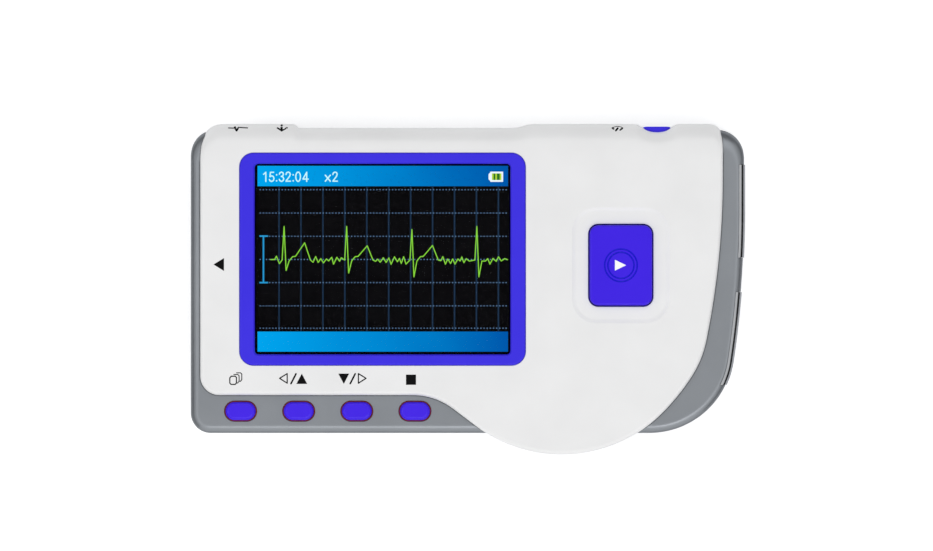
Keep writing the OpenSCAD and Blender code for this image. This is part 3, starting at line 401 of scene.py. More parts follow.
def tone(red, green, blue):
    """A colour as a paint chart gives it, from 0 to 255, made linear."""
    shares = [c / 255 for c in (red, green, blue)]
    return (*(c / 12.92 if c <= 0.04 else ((c + 0.055) / 1.055) ** 2.4 for c in shares), 1)


def moulding(name, dark, light, roughness, grain=2600, cloud=90, depth=0.00001, gloss_change=0.06,
             specular=0.5, metallic=0.0):
    """Material of a moulded or cast piece, from the shared surface."""
    material = bpy.data.materials.new(name)
    material.use_nodes = True
    tree = material.node_tree
    shader = tree.nodes["Principled BSDF"]
    coordinates = tree.nodes.new("ShaderNodeTexCoord")
    surface = tree.nodes.new("ShaderNodeGroup")
    surface.node_tree = moulded
    dial(surface, ("Grain Scale", grain), ("Cloud Scale", cloud))
    tint = tree.nodes.new("ShaderNodeValToRGB")
    tint.color_ramp.elements[0].color, tint.color_ramp.elements[1].color = tone(*dark), tone(*light)
    tint.color_ramp.elements[0].position, tint.color_ramp.elements[1].position = 0.3, 0.7
    gloss = tree.nodes.new("ShaderNodeMapRange")
    dial(gloss, ("To Min", roughness - gloss_change), ("To Max", roughness + gloss_change))
    bump = tree.nodes.new("ShaderNodeBump")
    dial(bump, ("Distance", depth))
    wire(tree, (coordinates.outputs["Object"], surface.inputs["Vector"]),
         (surface.outputs["Cloud"], tint.inputs[0]), (surface.outputs["Cloud"], gloss.inputs["Value"]),
         (surface.outputs["Grain"], bump.inputs["Height"]),
         (tint.outputs["Color"], shader.inputs["Base Color"]),
         (gloss.outputs["Result"], shader.inputs["Roughness"]),
         (bump.outputs["Normal"], shader.inputs["Normal"]))
    dial(shader, ("Specular IOR Level", specular), ("Metallic", metallic))
    return material


def place(piece, material, body, slot, *nodes, sharp=32):
    """Turns a piece from millimetres to metres, smooths it, hangs it under its body's empty and hides the
    CAD nodes it stands for.
    """
    piece.data.transform(Matrix.Scale(0.001, 4))
    piece.data.materials.clear()
    piece.data.materials.append(material)
    piece.data.shade_smooth()
    piece.data.set_sharp_from_angle(angle=math.radians(sharp))
    evened = piece.modifiers.new("level", "WEIGHTED_NORMAL")
    evened.keep_sharp = True
    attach(piece, body)
    if nodes:
        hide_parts(*nodes)
    return piece


white_abs = moulding("white satin plastic", (230, 230, 230), (234, 234, 234), 0.38, depth=0.000004)
place(front_cover, white_abs, "root", "white_cover", "face_cover")

# ---------------------------- grey front frame
# The grey middle frame is moulded from ABS with a round front edge. The white cover lies
# in a recess of it, the keys come through its lower strip, and it parts from the rear shell
# at a fine V-shaped line all the way round.
g_l, g_r, g_bot, g_top = shell_lo.x, shell_hi.x, shell_lo.y, shell_hi.y
frame_edge, frame_shoulder, shell_wall = 2, 4, 1.8
bow_r, heel_r, top_right_r, top_left_r, low_left_r = 230, 19, 6, 5.5, 4.5
bow_y = g_top - 18.2
bow_x = g_r - bow_r
heel_y = g_bot + heel_r
heel_x = bow_x + math.sqrt((bow_r - heel_r) ** 2 - (heel_y - bow_y) ** 2)
bow_a = math.degrees(math.atan2(heel_y - bow_y, heel_x - bow_x))
grey_arcs = [(heel_x, heel_y, heel_r, -90, bow_a, 26), (bow_x, bow_y, bow_r, bow_a, 0, 16),
             (g_r - top_right_r, g_top - top_right_r, top_right_r, 0, 90, 16),
             (g_l + top_left_r, g_top - top_left_r, top_left_r, 90, 180, 16),
             (g_l + low_left_r, g_bot + low_left_r, low_left_r, 180, 270, 14)]


def grey_block(name, proud=0.0, low=split_z, groove=0.0):
    """The grey body's outside, moved out by proud, with its round front edge and shoulder."""
    rings = [(outline(grey_arcs, groove - proud), low), (outline(grey_arcs, -proud), low + groove)]
    r, shoulder = frame_edge + proud, frame_shoulder + proud
    for a in (0, 10, 20, 30, 38, 45, 51, 57, 63, 69, 75, 82, 90):
        turn = direction(a)
        up = max(0, r - shoulder * (1 - turn.y))
        rings.append(level(outline(grey_arcs, r - math.sqrt(r * r - up * up) - proud),
                           frame_z + proud - shoulder * (1 - turn.y), shoulder * (1 - turn.x)))
    return loft(name, *(rings if groove else rings[1:]))


skirt_gap, rest_w = 0.12, 4.5
skirt_room = loft("skirt_room", cover_ring(split_z - 1, -0.1, 0, 1),
                  *(cover_ring(height, inset - 0.1, sink, relief)
                    for height, inset, sink, relief in cover_steps[1:]))
fit(skirt_room, "DIFFERENCE", block("below", (-far, -far, 0), (far, skirt_y - skirt_gap, far)))
recess = well("recess", cover_arcs(), seat_z, frame_z, 0.12, 0.14)
fit(recess, "DIFFERENCE", block("above", (-far, skirt_y - skirt_gap, 0), (far, far, far)))

# The opening for what lies under the cover leaves a rim for the cover to lie on.
opening = block("opening", (w_l + rest_w, w_bot + rest_w, split_z), (20, skirt_y, far))
fit(opening, "UNION", block("beside", (0, 2, split_z), (w_r - 5, skirt_y, far)),
    tube("lobe", lobe_c, lobe_r - rest_w, split_z, far))
fit(opening, "INTERSECT", prism("within", outline(grey_arcs, 3.8), 0, 2 * far))

key_nodes = ("key_menu", "key_left", "key_right", "key_stop")
keys = {node: (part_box(node)[0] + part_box(node)[1]) * 500 for node in key_nodes}
key_arcs = {node: rounded(middle, 6.8, 4.1, 2.04, 12) for node, middle in keys.items()}
grey_frame = grey_block("grey_frame", groove=split_groove)
fit(grey_frame, "DIFFERENCE",
    prism("hollow", outline(grey_arcs, shell_wall), 0, frame_z - 2),
    opening, recess, skirt_room,
    block("behind_skirt", (w_l + 8, skirt_y - skirt_gap, split_z - 1), (w_r - 8, far, far)),
    *(well("key_hole", arcs, 0, frame_z, key_room, 0.12) for arcs in key_arcs.values()))


def side_plate(name, low, high, proud, thick, right, room=0.0):
    """Plate that follows the body's side from low to high, given as (y, z). On the right it
    ends where it has curled 1.2 mm over the round front edge."""
    plate = grey_block(name, proud, low=split_z - 2)
    fit(plate, "DIFFERENCE", grey_block("core", proud - thick, low=split_z - 4))
    if right:
        inner = outline(grey_arcs, 1.2 + room)
        fit(plate, "DIFFERENCE", prism("face", inner, 0, far))
        high = (high[0], 3 * frame_z)
    middle = ((low[0] + high[0]) / 2, (low[1] + high[1]) / 2)
    window = rounded(middle, high[0] - low[0] + 2 * room, high[1] - low[1] + 2 * room, 1.6, 8)
    side = prism("side", outline(window), *((20, far) if right else (-far, -20)))
    side.data.transform(Matrix(((0, 0, 1, 0), (1, 0, 0, 0), (0, 1, 0, 0), (0, 0, 0, 1))))
    return fit(plate, "INTERSECT", side)


plates = {}
for node in ("index_electrode", "middle_electrode", "left_electrode"):
    low, high = box_mm(node)
    plates[node] = ((low.y, low.z), (high.y, high.z))
    right = node != "left_electrode"
    pocket_h = 1.7 if right else 1.95
    fit(grey_frame, "DIFFERENCE", side_plate("seat", *plates[node], 1, pocket_h, right, 0.06))
grey_abs = moulding("grey metallic paint", (136, 140, 145), (141, 145, 150), 0.3, grain=5200,
                    depth=0.000003, gloss_change=0.04, metallic=0.6)
place(grey_frame, grey_abs, "root", "grey_shell", "front_frame")

# ---------------------------- electrodes
# Three contact plates of chromed brass lie in pockets of the grey frame: two on the right
# for the index and middle finger, which curl over the front edge, and one on the left for
# the other hand. Each is pulled in by a rivet through the wall.
plate_proud, plate_t = 0.25, 0.9
chrome = moulding("chromed brass", (206, 208, 212), (218, 220, 223), 0.12, grain=900, cloud=220,
                  depth=0.000002, gloss_change=0.05, metallic=1.0)
for node, (low, high) in plates.items():
    right = node != "left_electrode"
    plate = side_plate(node + "_plate", low, high, plate_proud if right else 0.0, plate_t, right)
    place(plate, chrome, "root", "electrode", node)
    edge = plate.modifiers.new("broken edge", "BEVEL")
    edge.width, edge.segments, edge.limit_method, edge.angle_limit = 0.00018, 3, "ANGLE", math.radians(50)
    plate.modifiers.move(1, 0)

# ---------------------------- rear shell
# The grey rear shell is a deep ABS tray with a round back edge and the white cover's lobe
# let into its lower side. It holds the battery bay, whose roof carries the board, the four
# screw bosses and the sound slots under the buzzer.
lobe_back_r, cove_r, back_edge = 31.9, 6, 3.5
back_wall, bay_wall, boss_r, head_room, shank_room = 2, 1.2, 3.2, 2.05, 1.05
cove_a = math.asin((lobe_c.y - g_bot + cove_r) / (lobe_back_r + cove_r))
cove_x = (lobe_back_r + cove_r) * math.cos(cove_a)
cove_a = math.degrees(cove_a)
back_arcs = grey_arcs + [(lobe_c.x - cove_x, g_bot - cove_r, cove_r, 90, cove_a, 8),
                         (*lobe_c, lobe_back_r, 180 + cove_a, 360 - cove_a, 30),
                         (lobe_c.x + cove_x, g_bot - cove_r, cove_r, 180 - cove_a, 90, 8)]


def rear_block(name):
    """The rear shell's outside, with its round back edge."""
    rings = []
    for i in range(10):
        turn = direction(10 * i)
        rings.append((outline(back_arcs, back_edge * (1 - turn.y)), back_edge * (1 - turn.x)))
    return loft(name, *rings, (outline(back_arcs), split_z - split_groove),
                (outline(back_arcs, split_groove), split_z))


springs_lo, springs_hi = box_mm("battery_plates")
door_lo, door_hi = box_mm("battery_door")
buzzer_lo, buzzer_hi = box_mm("buzzer")
board_z = box_mm("main_board")[0].z
bay_l, bay_r = springs_lo.x, springs_hi.x
bay_bot, bay_top = springs_lo.y - 0.5, springs_hi.y + 0.5
cell_top = box_mm("battery_upper")[1].z
bosses = ((g_l + 6.15, g_top - 17.5), (g_r - 10, g_top - 8.7), (g_r - 16, g_bot + 12.6),
          (g_l + 6.15, g_bot + 12.6))
rear_shell = rear_block("rear_shell")
fit(rear_shell, "DIFFERENCE", prism("tray", outline(back_arcs, shell_wall), back_wall, 2 * split_z))
fit(rear_shell, "UNION", block("bay_walls", (bay_l - bay_wall, bay_bot - bay_wall, back_wall - 0.01),
                               (bay_r + bay_wall, bay_top + bay_wall, board_z)),
    *(tube("boss", boss, boss_r, back_wall - 0.01, board_z, steps=32) for boss in bosses))
fit(rear_shell, "DIFFERENCE", block("bay", (bay_l, bay_bot, back_wall), (bay_r, bay_top, cell_top + 0.15)),
    block("doorway", (bay_l + 1.5, -far, -1), (bay_r - 1.5, bay_top, back_wall + 0.15)),
    *(block("rail_run", (x - 0.15, -far, back_wall), (x + 3.15, bay_top - 1.5, 3.1))
      for x in (bay_l, bay_r - 3)),
    *(tube("head_room", boss, head_room, -1, 2.8, steps=40) for boss in bosses),
    *(tube("shank_room", boss, shank_room, -1, far, steps=24) for boss in bosses))
for i in range(-2, 3):
    slot_arcs = rounded((buzzer_lo + buzzer_hi) / 2 + Vector((0, 1.9 * i, 0)), 8, 0.9, 0.44, 6)
    fit(rear_shell, "DIFFERENCE",
        loft("sound_slot", (outline(slot_arcs, -0.15), -1), (outline(slot_arcs, -0.15), 0.02),
             (outline(slot_arcs), 0.17), (outline(slot_arcs), 3)))
rear_abs = moulding("grey grained plastic", (120, 125, 131), (127, 131, 137), 0.5, grain=1900,
                    cloud=70, depth=0.00002)
place(rear_shell, rear_abs, "root", "grey_shell", "back_cover")

# ---------------------------- battery door
# The door of the battery bay slides out towards the keys on two rails. It is moulded with
# the rear shell's round edge, and five grooves under an arrow give the thumb its grip.
rail_top, rail_start, rail_end = 2.95, door_lo.y + 0.4, door_hi.y - 1.5
door = rear_block("door")
fit(door, "INTERSECT", block("door_plate", (door_lo.x + 1.5, -far, -1),
                             (door_hi.x - 1.5, door_hi.y, back_wall)))
for x, step in ((door_lo.x, -1), (door_hi.x, 1)):
    inner = (x - step * 3, x - step * 1.5)
    outer = (x, x - step * 1.55)
    rail = block("rail", (min(inner), rail_start, back_wall - 0.01), (max(inner), rail_end, rail_top))
    fit(rail, "UNION", block("rail_lip", (min(outer), rail_start, back_wall + 0.15),
                             (max(outer), rail_end, rail_top)))
    fit(door, "UNION", rail)
thumb_x, thumb_y = (door_lo.x + door_hi.x) / 2, bay_bot + 2.9
for i in range(5):
    arcs = rounded((thumb_x, thumb_y + 1.7 * i), 16, 0.8, 0.39, 6)
    fit(door, "DIFFERENCE", loft("groove", (outline(arcs, -0.12), -1), (outline(arcs, -0.12), 0.0),
                                 (outline(arcs), 0.12), (outline(arcs, 0.12), 0.4)))
arrow = [Vector((thumb_x + x, thumb_y + y)) for x, y in ((-2.2, 9.8), (2.2, 9.8), (0, 7.9))]
fit(door, "DIFFERENCE", prism("arrow", arrow, -1, 0.3))
place(door, rear_abs, "door", "grey_shell", "battery_door")

# ---------------------------- screen frame
# A bright blue moulded frame is glued into the cover round the window. Its outer edge is
# softly rounded and its inner edge slopes down to the window.


def cap(name, arcs, foot, top, edge, steps):
    """Upright block with a round upper edge, drawn in so many steps."""
    rings = [(outline(arcs), foot)]
    for i in range(steps + 1):
        turn = direction(90 / steps * i)
        rings.append((outline(arcs, edge * (1 - turn.x)), top - edge * (1 - turn.y)))
    return loft(name, *rings)


blue_abs = moulding("blue satin plastic", (54, 40, 221), (58, 43, 226), 0.36, depth=0.000004,
                    specular=0.2)
bezel_w, bezel_h, bezel_top, bezel_edge = bezel_hi.x - bezel_lo.x, bezel_hi.y - bezel_lo.y, bezel_hi.z, 0.5
window_arcs = rounded(screen_c, bezel_w - 6.9, bezel_h - 5, 0.8, 10)
rim_arcs = rounded(screen_c, bezel_w, bezel_h, frame_r, 14)
screen_frame = cap("screen_frame", rim_arcs, bezel_lo.z, bezel_top, bezel_edge, 6)
fit(screen_frame, "DIFFERENCE",
    loft("window_opening", (outline(window_arcs), bezel_lo.z - 1), (outline(window_arcs), bezel_top - 0.45),
         (outline(window_arcs, -0.14), bezel_top - 0.2), (outline(window_arcs, -0.36), bezel_top - 0.04),
         (outline(window_arcs, -0.5), bezel_top + 0.01), (outline(window_arcs, -0.5), bezel_top + 2)))
place(screen_frame, blue_abs, "root", "blue_trim", "screen_bezel")

# ---------------------------- window and display
# A clear coated window lies under the blue frame. Behind it a seal and the colour display
# itself, whose glass is black where it isn't lit. The picture is a faint glow at its face.


def coat(material, *nodes):
    """Gives CAD nodes that keep their own shape a finished material."""
    for node in nodes:
        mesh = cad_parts[node].data
        for i in range(len(mesh.materials)):
            mesh.materials[i] = material


clear = moulding("coated window", (250, 252, 255), (255, 255, 255), 0.03, gloss_change=0.02,
                 depth=0.0000005, specular=0.15)
dial(clear.node_tree.nodes["Principled BSDF"], ("Transmission Weight", 1.0), ("IOR", 1.03))
coat(clear, "display_lens")
dark_glass = moulding("display glass", (3, 3, 4), (4, 4, 5), 0.4, depth=0.0000005, specular=0.01)
dial(dark_glass.node_tree.nodes["Principled BSDF"], ("Emission Color", (0.9, 0.85, 1, 1)),
     ("Emission Strength", 0.0025))
dark_glass.cycles.emission_sampling = "NONE"
coat(dark_glass, "lcd_panel")
coat(moulding("foam seal", (5, 5, 6), (8, 8, 9), 0.9, grain=4000, depth=0.00003, specular=0.1),
     "display_gasket")
coat(moulding("white reflector", (226, 226, 224), (234, 234, 232), 0.6), "backlight_tray")


def glow(name, left, right):
    """Lit part of the picture: its colour runs from left to right, with a faint unevenness."""
    material = bpy.data.materials.new(name)
    material.use_nodes = True
    tree = material.node_tree
    shader = tree.nodes["Principled BSDF"]
    dial(shader, ("Base Color", (0, 0, 0, 1)), ("Specular IOR Level", 0.0), ("Emission Strength", 1.0))
    material.cycles.emission_sampling = "NONE"
    coordinates = tree.nodes.new("ShaderNodeTexCoord")
    parts = tree.nodes.new("ShaderNodeSeparateXYZ")
    across = tree.nodes.new("ShaderNodeMapRange")
    dial(across, ("From Min", (screen_c.x - 28) / 1000), ("From Max", (screen_c.x + 28) / 1000))
    surface = tree.nodes.new("ShaderNodeGroup")
    surface.node_tree = moulded
    dial(surface, ("Grain Scale", 5000), ("Cloud Scale", 60))
    uneven = tree.nodes.new("ShaderNodeMapRange")
    dial(uneven, ("To Min", -0.12), ("To Max", 0.12))
    sum_up = tree.nodes.new("ShaderNodeMath")
    tint = tree.nodes.new("ShaderNodeValToRGB")
    tint.color_ramp.elements[0].color, tint.color_ramp.elements[1].color = tone(*left), tone(*right)
    wire(tree, (coordinates.outputs["Object"], parts.inputs[0]),
         (coordinates.outputs["Object"], surface.inputs["Vector"]),
         (parts.outputs["X"], across.inputs["Value"]), (surface.outputs["Cloud"], uneven.inputs["Value"]),
         (across.outputs["Result"], sum_up.inputs[0]), (uneven.outputs["Result"], sum_up.inputs[1]),
         (sum_up.outputs[0], tint.inputs[0]), (tint.outputs["Color"], shader.inputs["Emission Color"]))
    return material


picture_c, pixels_a_mm = (468, 289), 4.43


def spot(across, down):
    """Place on the face, in millimetres, from a place in the picture of 933 by 551."""
    return Vector(((across - picture_c[0]) / pixels_a_mm, (picture_c[1] - down) / pixels_a_mm, 0))


def path(*places):
    """Places on the face from places in the picture."""
    return [spot(*at) for at in places]


def bar(mesh, start, end, width):
    """Flat bar between two places."""
    run = end - start
    turn = Matrix.Rotation(math.atan2(run.y, run.x), 4, "Z")
    bmesh.ops.create_grid(mesh, x_segments=1, y_segments=1, size=0.5,
                          matrix=Matrix.Translation((start + end) / 2) @ turn
                          @ Matrix.Diagonal((run.length, width, 1, 1)))


def disc(mesh, middle, r, steps=10):
    bmesh.ops.create_circle(mesh, cap_ends=True, segments=steps, radius=r, matrix=Matrix.Translation(middle))


def line(mesh, points, width):
    """Line of even width through places, with round joints."""
    for start, end in zip(points, points[1:]):
        bar(mesh, start, end, width)
    for point in points:
        disc(mesh, point, width / 2)


def sheet(mesh, *points):
    """Flat filled shape."""
    mesh.faces.new([mesh.verts.new(point) for point in points])


def pane(mesh, left, top, right, bottom):
    """Flat rectangle, from its edges in the picture."""
    sheet(mesh, *path((left, bottom), (right, bottom), (right, top), (left, top)))


def laid_flat(name, mesh, material, body):
    """Turns a flat shape face up, gives it its material and hangs it under its body's empty."""
    made = make(name, mesh)
    if made.data.polygons[0].normal.z < 0:
        made.data.flip_normals()
    made.data.transform(Matrix.Scale(0.001, 4))
    made.data.materials.append(material)
    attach(made, body)


def lit(name, mesh, rise, left, right=None):
    """Lays a part of the picture at its rise over the display glass and hangs it under the root body."""
    glass_z = box_mm("lcd_panel")[1].z + 0.01
    bmesh.ops.translate(mesh, verts=mesh.verts, vec=(0, 0, glass_z + rise))
    laid_flat(name, mesh, glow(name.replace("_", " "), left, right or left), "root")


# The title bar and the bar at the foot are full width. The grid's upright lines are whole
# and its level ones dotted.
display_l, display_r = 257.1, 508.1
title_top, title_bot, foot_top, foot_bot = 165.6, 186, 331.7, 351.8
bars = bmesh.new()
pane(bars, display_l, title_top, display_r, title_bot)
pane(bars, display_l, foot_top, display_r, foot_bot)
lit("title_bars", bars, 0, (0, 166, 238), (0, 88, 172))

grid_l, grid_top, grid_bot, grid_step = 278.65, 186.5, 331.2, 21.98
dot_l, dot_r, dot_step = 259.2, 260.3, 3.16
dotted_y = (189.5, 212.9, 236.2, 259.4, 282.6, 305.9, 328.3)
rule_w, dot_w = 0.36, 0.25
grid = bmesh.new()
for i in range(11):
    bar(grid, spot(grid_l + grid_step * i, grid_top), spot(grid_l + grid_step * i, grid_bot), rule_w)
lit("grid_lines", grid, 0, (26, 45, 66), (29, 49, 72))
dots = bmesh.new()
for down in dotted_y:
    for i in range(79):
        bar(dots, spot(dot_l + dot_step * i, down), spot(dot_r + dot_step * i, down), dot_w)
lit("grid_dots", dots, 0.01, (88, 122, 160), (92, 126, 164))

bracket_l, bracket_x, bracket_r, bracket_top, bracket_bot = 259, 263, 267.6, 236, 282.6
bracket = bmesh.new()
bar(bracket, spot(bracket_x, bracket_top), spot(bracket_x, bracket_bot), rule_w)
for down in (bracket_top, bracket_bot):
    bar(bracket, spot(bracket_l, down), spot(bracket_r, down), rule_w)
lit("scale_bracket", bracket, 0.02, (40, 150, 205))

# Four heartbeats on a shivering line. Each has a peak, a dip, a slower wave, which the last
# one is without, and a rest that runs to where the next one begins.
shiver = random.Random(11)
rest_y, trace_end, trace_w = 259.8, (507.6, 259.6), 0.23
trace = path((270.1, 259.5), (274.2, 259.5), (276, 256.1), (279, 263.6))
beats = ((283.7, 226.3, 270.4, 242.7, 342), (346.4, 226.3, 273, 245.7, 408),
         (411.8, 229.5, 276.8, 245.4, 472), (476.9, 226.3, 276.8, None, 506))
for peak_x, peak_y, dip_y, wave_y, end_x in beats:
    trace += path((peak_x - 2, 260), (peak_x, peak_y), (peak_x + 2, dip_y), (peak_x + 5, 261))
    at = peak_x + 8.5
    if wave_y:
        trace += path((peak_x + 8.5, 256.6), (peak_x + 11.4, 256.3), (peak_x + 20.6, wave_y),
                      (peak_x + 26.4, 260))
        at = peak_x + 29
    high = False
    while at < end_x:
        trace.append(spot(at, rest_y + shiver.uniform(0.8, 4.4) * (-0.8 if high else 1)))
        high = not high
        at += shiver.uniform(1.7, 3.4)
trace.append(spot(*trace_end))
pulse = bmesh.new()
line(pulse, trace, trace_w)
lit("heart_trace", pulse, 0.03, (136, 214, 62))

# The clock and the gain are drawn as pen strokes in a field one unit high.
strokes = {"1": [(0.1, 0.76), (0.34, 0.98), (0.34, 0)],
           "2": [(0.04, 0.74), (0.1, 0.92), (0.28, 1), (0.45, 0.92), (0.5, 0.74), (0.42, 0.54), (0.04, 0.03),
                 (0.52, 0.03)],
           "3": [(0.04, 0.78), (0.11, 0.93), (0.27, 1), (0.43, 0.92), (0.46, 0.74), (0.4, 0.6), (0.24, 0.53),
                 (0.43, 0.46), (0.51, 0.28), (0.44, 0.09), (0.27, 0), (0.1, 0.07), (0.03, 0.22)],
           "4": [(0.56, 0.25), (0, 0.25), (0.4, 0.98), (0.4, 0)],
           "5": [(0.48, 0.97), (0.14, 0.97), (0.08, 0.5), (0.27, 0.6), (0.45, 0.52), (0.52, 0.31),
                 (0.45, 0.09), (0.27, 0), (0.1, 0.06), (0.03, 0.2)],
           "0": [(0.27 + 0.25 * direction(a).x, 0.5 + 0.5 * direction(a).y)
                 for a in range(0, 361, 24)]}


def figure(mesh, sign, left, top=171.8, height=9.4):
    """One figure of the clock, drawn with an even stroke."""
    line(mesh, path(*((left + x * height, top + (1 - y) * height) for x, y in strokes[sign])), 0.28)


text_light = (202, 252, 255)
clock_places = (("1", 262.2), ("5", 268.7), ("3", 278.6), ("2", 285.2), ("0", 295.2), ("4", 302.6))
colon_x, colon_y, colon_r = (276.2, 292.8), (174.6, 180.6), 0.18
clock = bmesh.new()
for sign, left in clock_places:
    figure(clock, sign, left)
for across in colon_x:
    for down in colon_y:
        disc(clock, spot(across, down), colon_r)
lit("clock_figures", clock, 0.02, text_light)
gain_x, cross_l, cross_r, cross_top, cross_bot, cross_w = 332.2, 325, 330, 175, 181, 0.3
gain = bmesh.new()
figure(gain, "2", gain_x)
line(gain, path((cross_l, cross_top), (cross_r, cross_bot)), cross_w)
line(gain, path((cross_r, cross_top), (cross_l, cross_bot)), cross_w)
lit("gain_figure", gain, 0.02, text_light)

# The battery sign: a white case with a nose, a lit field and two dark bars of charge.
case_edges, nose = (490.3, 171.4, 503.2, 181.6), ((488.6, 179), (490.5, 181), (490.5, 172), (488.6, 174))
field_l, field_r, field_top, field_bot = 492, 501.5, 173.2, 179.8
charge_x = ((493.6, 495.4), (497, 499.8))
case = bmesh.new()
pane(case, *case_edges)
sheet(case, *path(*nose))
lit("battery_case", case, 0.02, (240, 250, 255))
charge = bmesh.new()
pane(charge, field_l, field_top, field_r, field_bot)
lit("battery_field", charge, 0.03, (176, 214, 60))
cells = bmesh.new()
for left, right in charge_x:
    pane(cells, left, field_top, right, field_bot)
lit("battery_charge", cells, 0.04, (44, 116, 40))

# ---------------------------- keys
# Four blue ABS keys stand in the grey strip. Each rests on a dark red silicone mat whose
# collar shows as a thin ring round the key, and a short stem under it works the switch.
red_silicone = moulding("dark red silicone", (150, 22, 16), (164, 28, 20), 0.55, grain=3200)
coat(red_silicone, "key_mat", "measure_pad")
key_blue = moulding("blue key plastic", (62, 26, 226), (66, 30, 231), 0.3, depth=0.000003,
                    specular=0.2)
key_edge = 0.9
for node, body in zip(key_nodes, ("menu_key", "left_key", "right_key", "stop_key")):
    low, high = box_mm(node)
    foot = high.z - 2.5
    key = cap(node + "_cap", key_arcs[node], foot, high.z, key_edge, 8)
    fit(key, "UNION", tube("stem", keys[node], 1, low.z, foot + 0.2, steps=32))
    place(key, key_blue, body, "blue_trim", node)

# ---------------------------- measure button
# The large blue button starts a measurement. Two fine rings are cut round its middle, and
# a white arrow is printed inside them. A flange under the cover keeps it in.
button_z = button_hi.z - 0.02
flange_z, button_edge = button_z - 3.8, 0.6
measure_cap = cap("measure_cap", button_arcs, flange_z, button_z, button_edge, 7)
fit(measure_cap, "UNION",
    prism("flange", outline(button_arcs, -0.8), flange_z, flange_z + 0.7),
    tube("stem", measure_c, 1.5, button_lo.z, flange_z + 0.2, steps=32))
outer_ring, inner_ring, cut_r = 3.67, 2.95, 0.16
for r in (outer_ring, inner_ring):
    ring = bmesh.new()
    bmesh.ops.create_circle(ring, segments=10, radius=cut_r,
                            matrix=Matrix.Translation((measure_c.x + r, measure_c.y, button_z))
                            @ Matrix.Rotation(math.pi / 2, 4, "X"))
    bmesh.ops.spin(ring, geom=ring.edges[:], cent=(measure_c.x, measure_c.y, 0), axis=(0, 0, 1),
                   angle=2 * math.pi, steps=96, use_merge=True)
    bmesh.ops.remove_doubles(ring, verts=ring.verts, dist=0.0001)
    fit(measure_cap, "DIFFERENCE", make("ring", ring))

# The face is painted a darker blue inside the two cut rings, as painted shade for the
# grooves. The distance from the button's middle is folded twice, so that one range
# covers both rings.
button_blue_and_groove_shade = moulding("blue button plastic with painted groove shade", (56, 20, 223), (60, 23, 228), 0.36, depth=0.000004,
                       specular=0.2)
tree = button_blue_and_groove_shade.node_tree
ring_place = tree.nodes.new("ShaderNodeTexCoord")
flatten = tree.nodes.new("ShaderNodeVectorMath")
flatten.operation = "MULTIPLY"
dial(flatten, (1, (1, 1, 0)))
away = tree.nodes.new("ShaderNodeVectorMath")
away.operation = "DISTANCE"
dial(away, (1, (measure_c.x / 1000, measure_c.y / 1000, 0)))
off_middle, off_ring = tree.nodes.new("ShaderNodeMath"), tree.nodes.new("ShaderNodeMath")
for node, reach in ((off_middle, (outer_ring + inner_ring) / 2000),
                    (off_ring, (outer_ring - inner_ring) / 2000)):
    node.operation = "SUBTRACT"
    dial(node, (1, reach))
size_of = [tree.nodes.new("ShaderNodeMath") for _ in range(2)]
for node in size_of:
    node.operation = "ABSOLUTE"
# Painted shade: a mask over the two grooves, and the darker blue that is mixed into the face there.
groove_shade_mask = tree.nodes.new("ShaderNodeMapRange")
dial(groove_shade_mask, ("From Min", 0.00023), ("From Max", 0.00013))
painted_groove_shade = tree.nodes.new("ShaderNodeMix")
painted_groove_shade.data_type = "RGBA"
dial(painted_groove_shade, (7, tone(8, 2, 204)))
wire(tree, (ring_place.outputs["Object"], flatten.inputs[0]), (flatten.outputs[0], away.inputs[0]),
     (away.outputs["Value"], off_middle.inputs[0]), (off_middle.outputs[0], size_of[0].inputs[0]),
     (size_of[0].outputs[0], off_ring.inputs[0]), (off_ring.outputs[0], size_of[1].inputs[0]),
     (size_of[1].outputs[0], groove_shade_mask.inputs["Value"]), (groove_shade_mask.outputs["Result"], painted_groove_shade.inputs[0]))
painted = tree.nodes["Principled BSDF"].inputs["Base Color"]
wire(tree, (painted.links[0].from_socket, painted_groove_shade.inputs[6]), (painted_groove_shade.outputs[2], painted))
place(measure_cap, button_blue_and_groove_shade, "measure_key", "blue_trim", "measure_button")

# ---------------------------- power button
# A blue bar with round ends stands out of the scoop in the top edge. It has a rounded rim,
# and two ears behind the cover's skirt keep it from falling out.
top_y, power_edge = power_hi.y, 0.5
power_cap = laid(cap("power_cap", power_arcs, top_y - 3.5, top_y, power_edge, 6), power_c)
fit(power_cap, "UNION",
    block("ears", (power_lo.x, top_y - 3.6, power_lo.z), (power_hi.x, top_y - 2.5, power_lo.z + 2.5)),
    tube("stem", (power_c[0], power_c[1] + 0.8), 0.8, power_lo.y, top_y - 3.4, "Y", 24))
place(power_cap, blue_abs, "power_key", "blue_trim", "power_button")

# ---------------------------- printed marks
# The signs beside the controls are pad-printed in black on the cover, and the arrow on the
# measure button in white. A print follows the surface under it.
ink = moulding("black print", (8, 8, 9), (14, 14, 15), 0.6, grain=6000, depth=0.000002, specular=0.05)
white_ink = moulding("white print", (246, 246, 248), (252, 252, 254), 0.6, grain=6000,
                     depth=0.000002, specular=0.2)
ink_t = 0.012


def printed(name, mesh, under=front_cover, material=ink, body="root"):
    """Lays a flat print on the piece under it, seen from the front."""
    bmesh.ops.subdivide_edges(mesh, edges=mesh.edges, cuts=2, use_grid_fill=True)
    ground = BVHTree.FromObject(under, bpy.context.evaluated_depsgraph_get())
    for v in mesh.verts:
        point, normal = ground.ray_cast(Vector((v.co.x, v.co.y, 40)) / 1000, Vector((0, 0, -1)))[:2]
        v.co = point * 1000 + normal * ink_t
    laid_flat(name, mesh, material, body)


electrode_sign = ((213.5, 264.5), (224, 271), (224, 258))
mark = bmesh.new()
sheet(mark, *path(*electrode_sign))
printed("electrode_mark", mark)

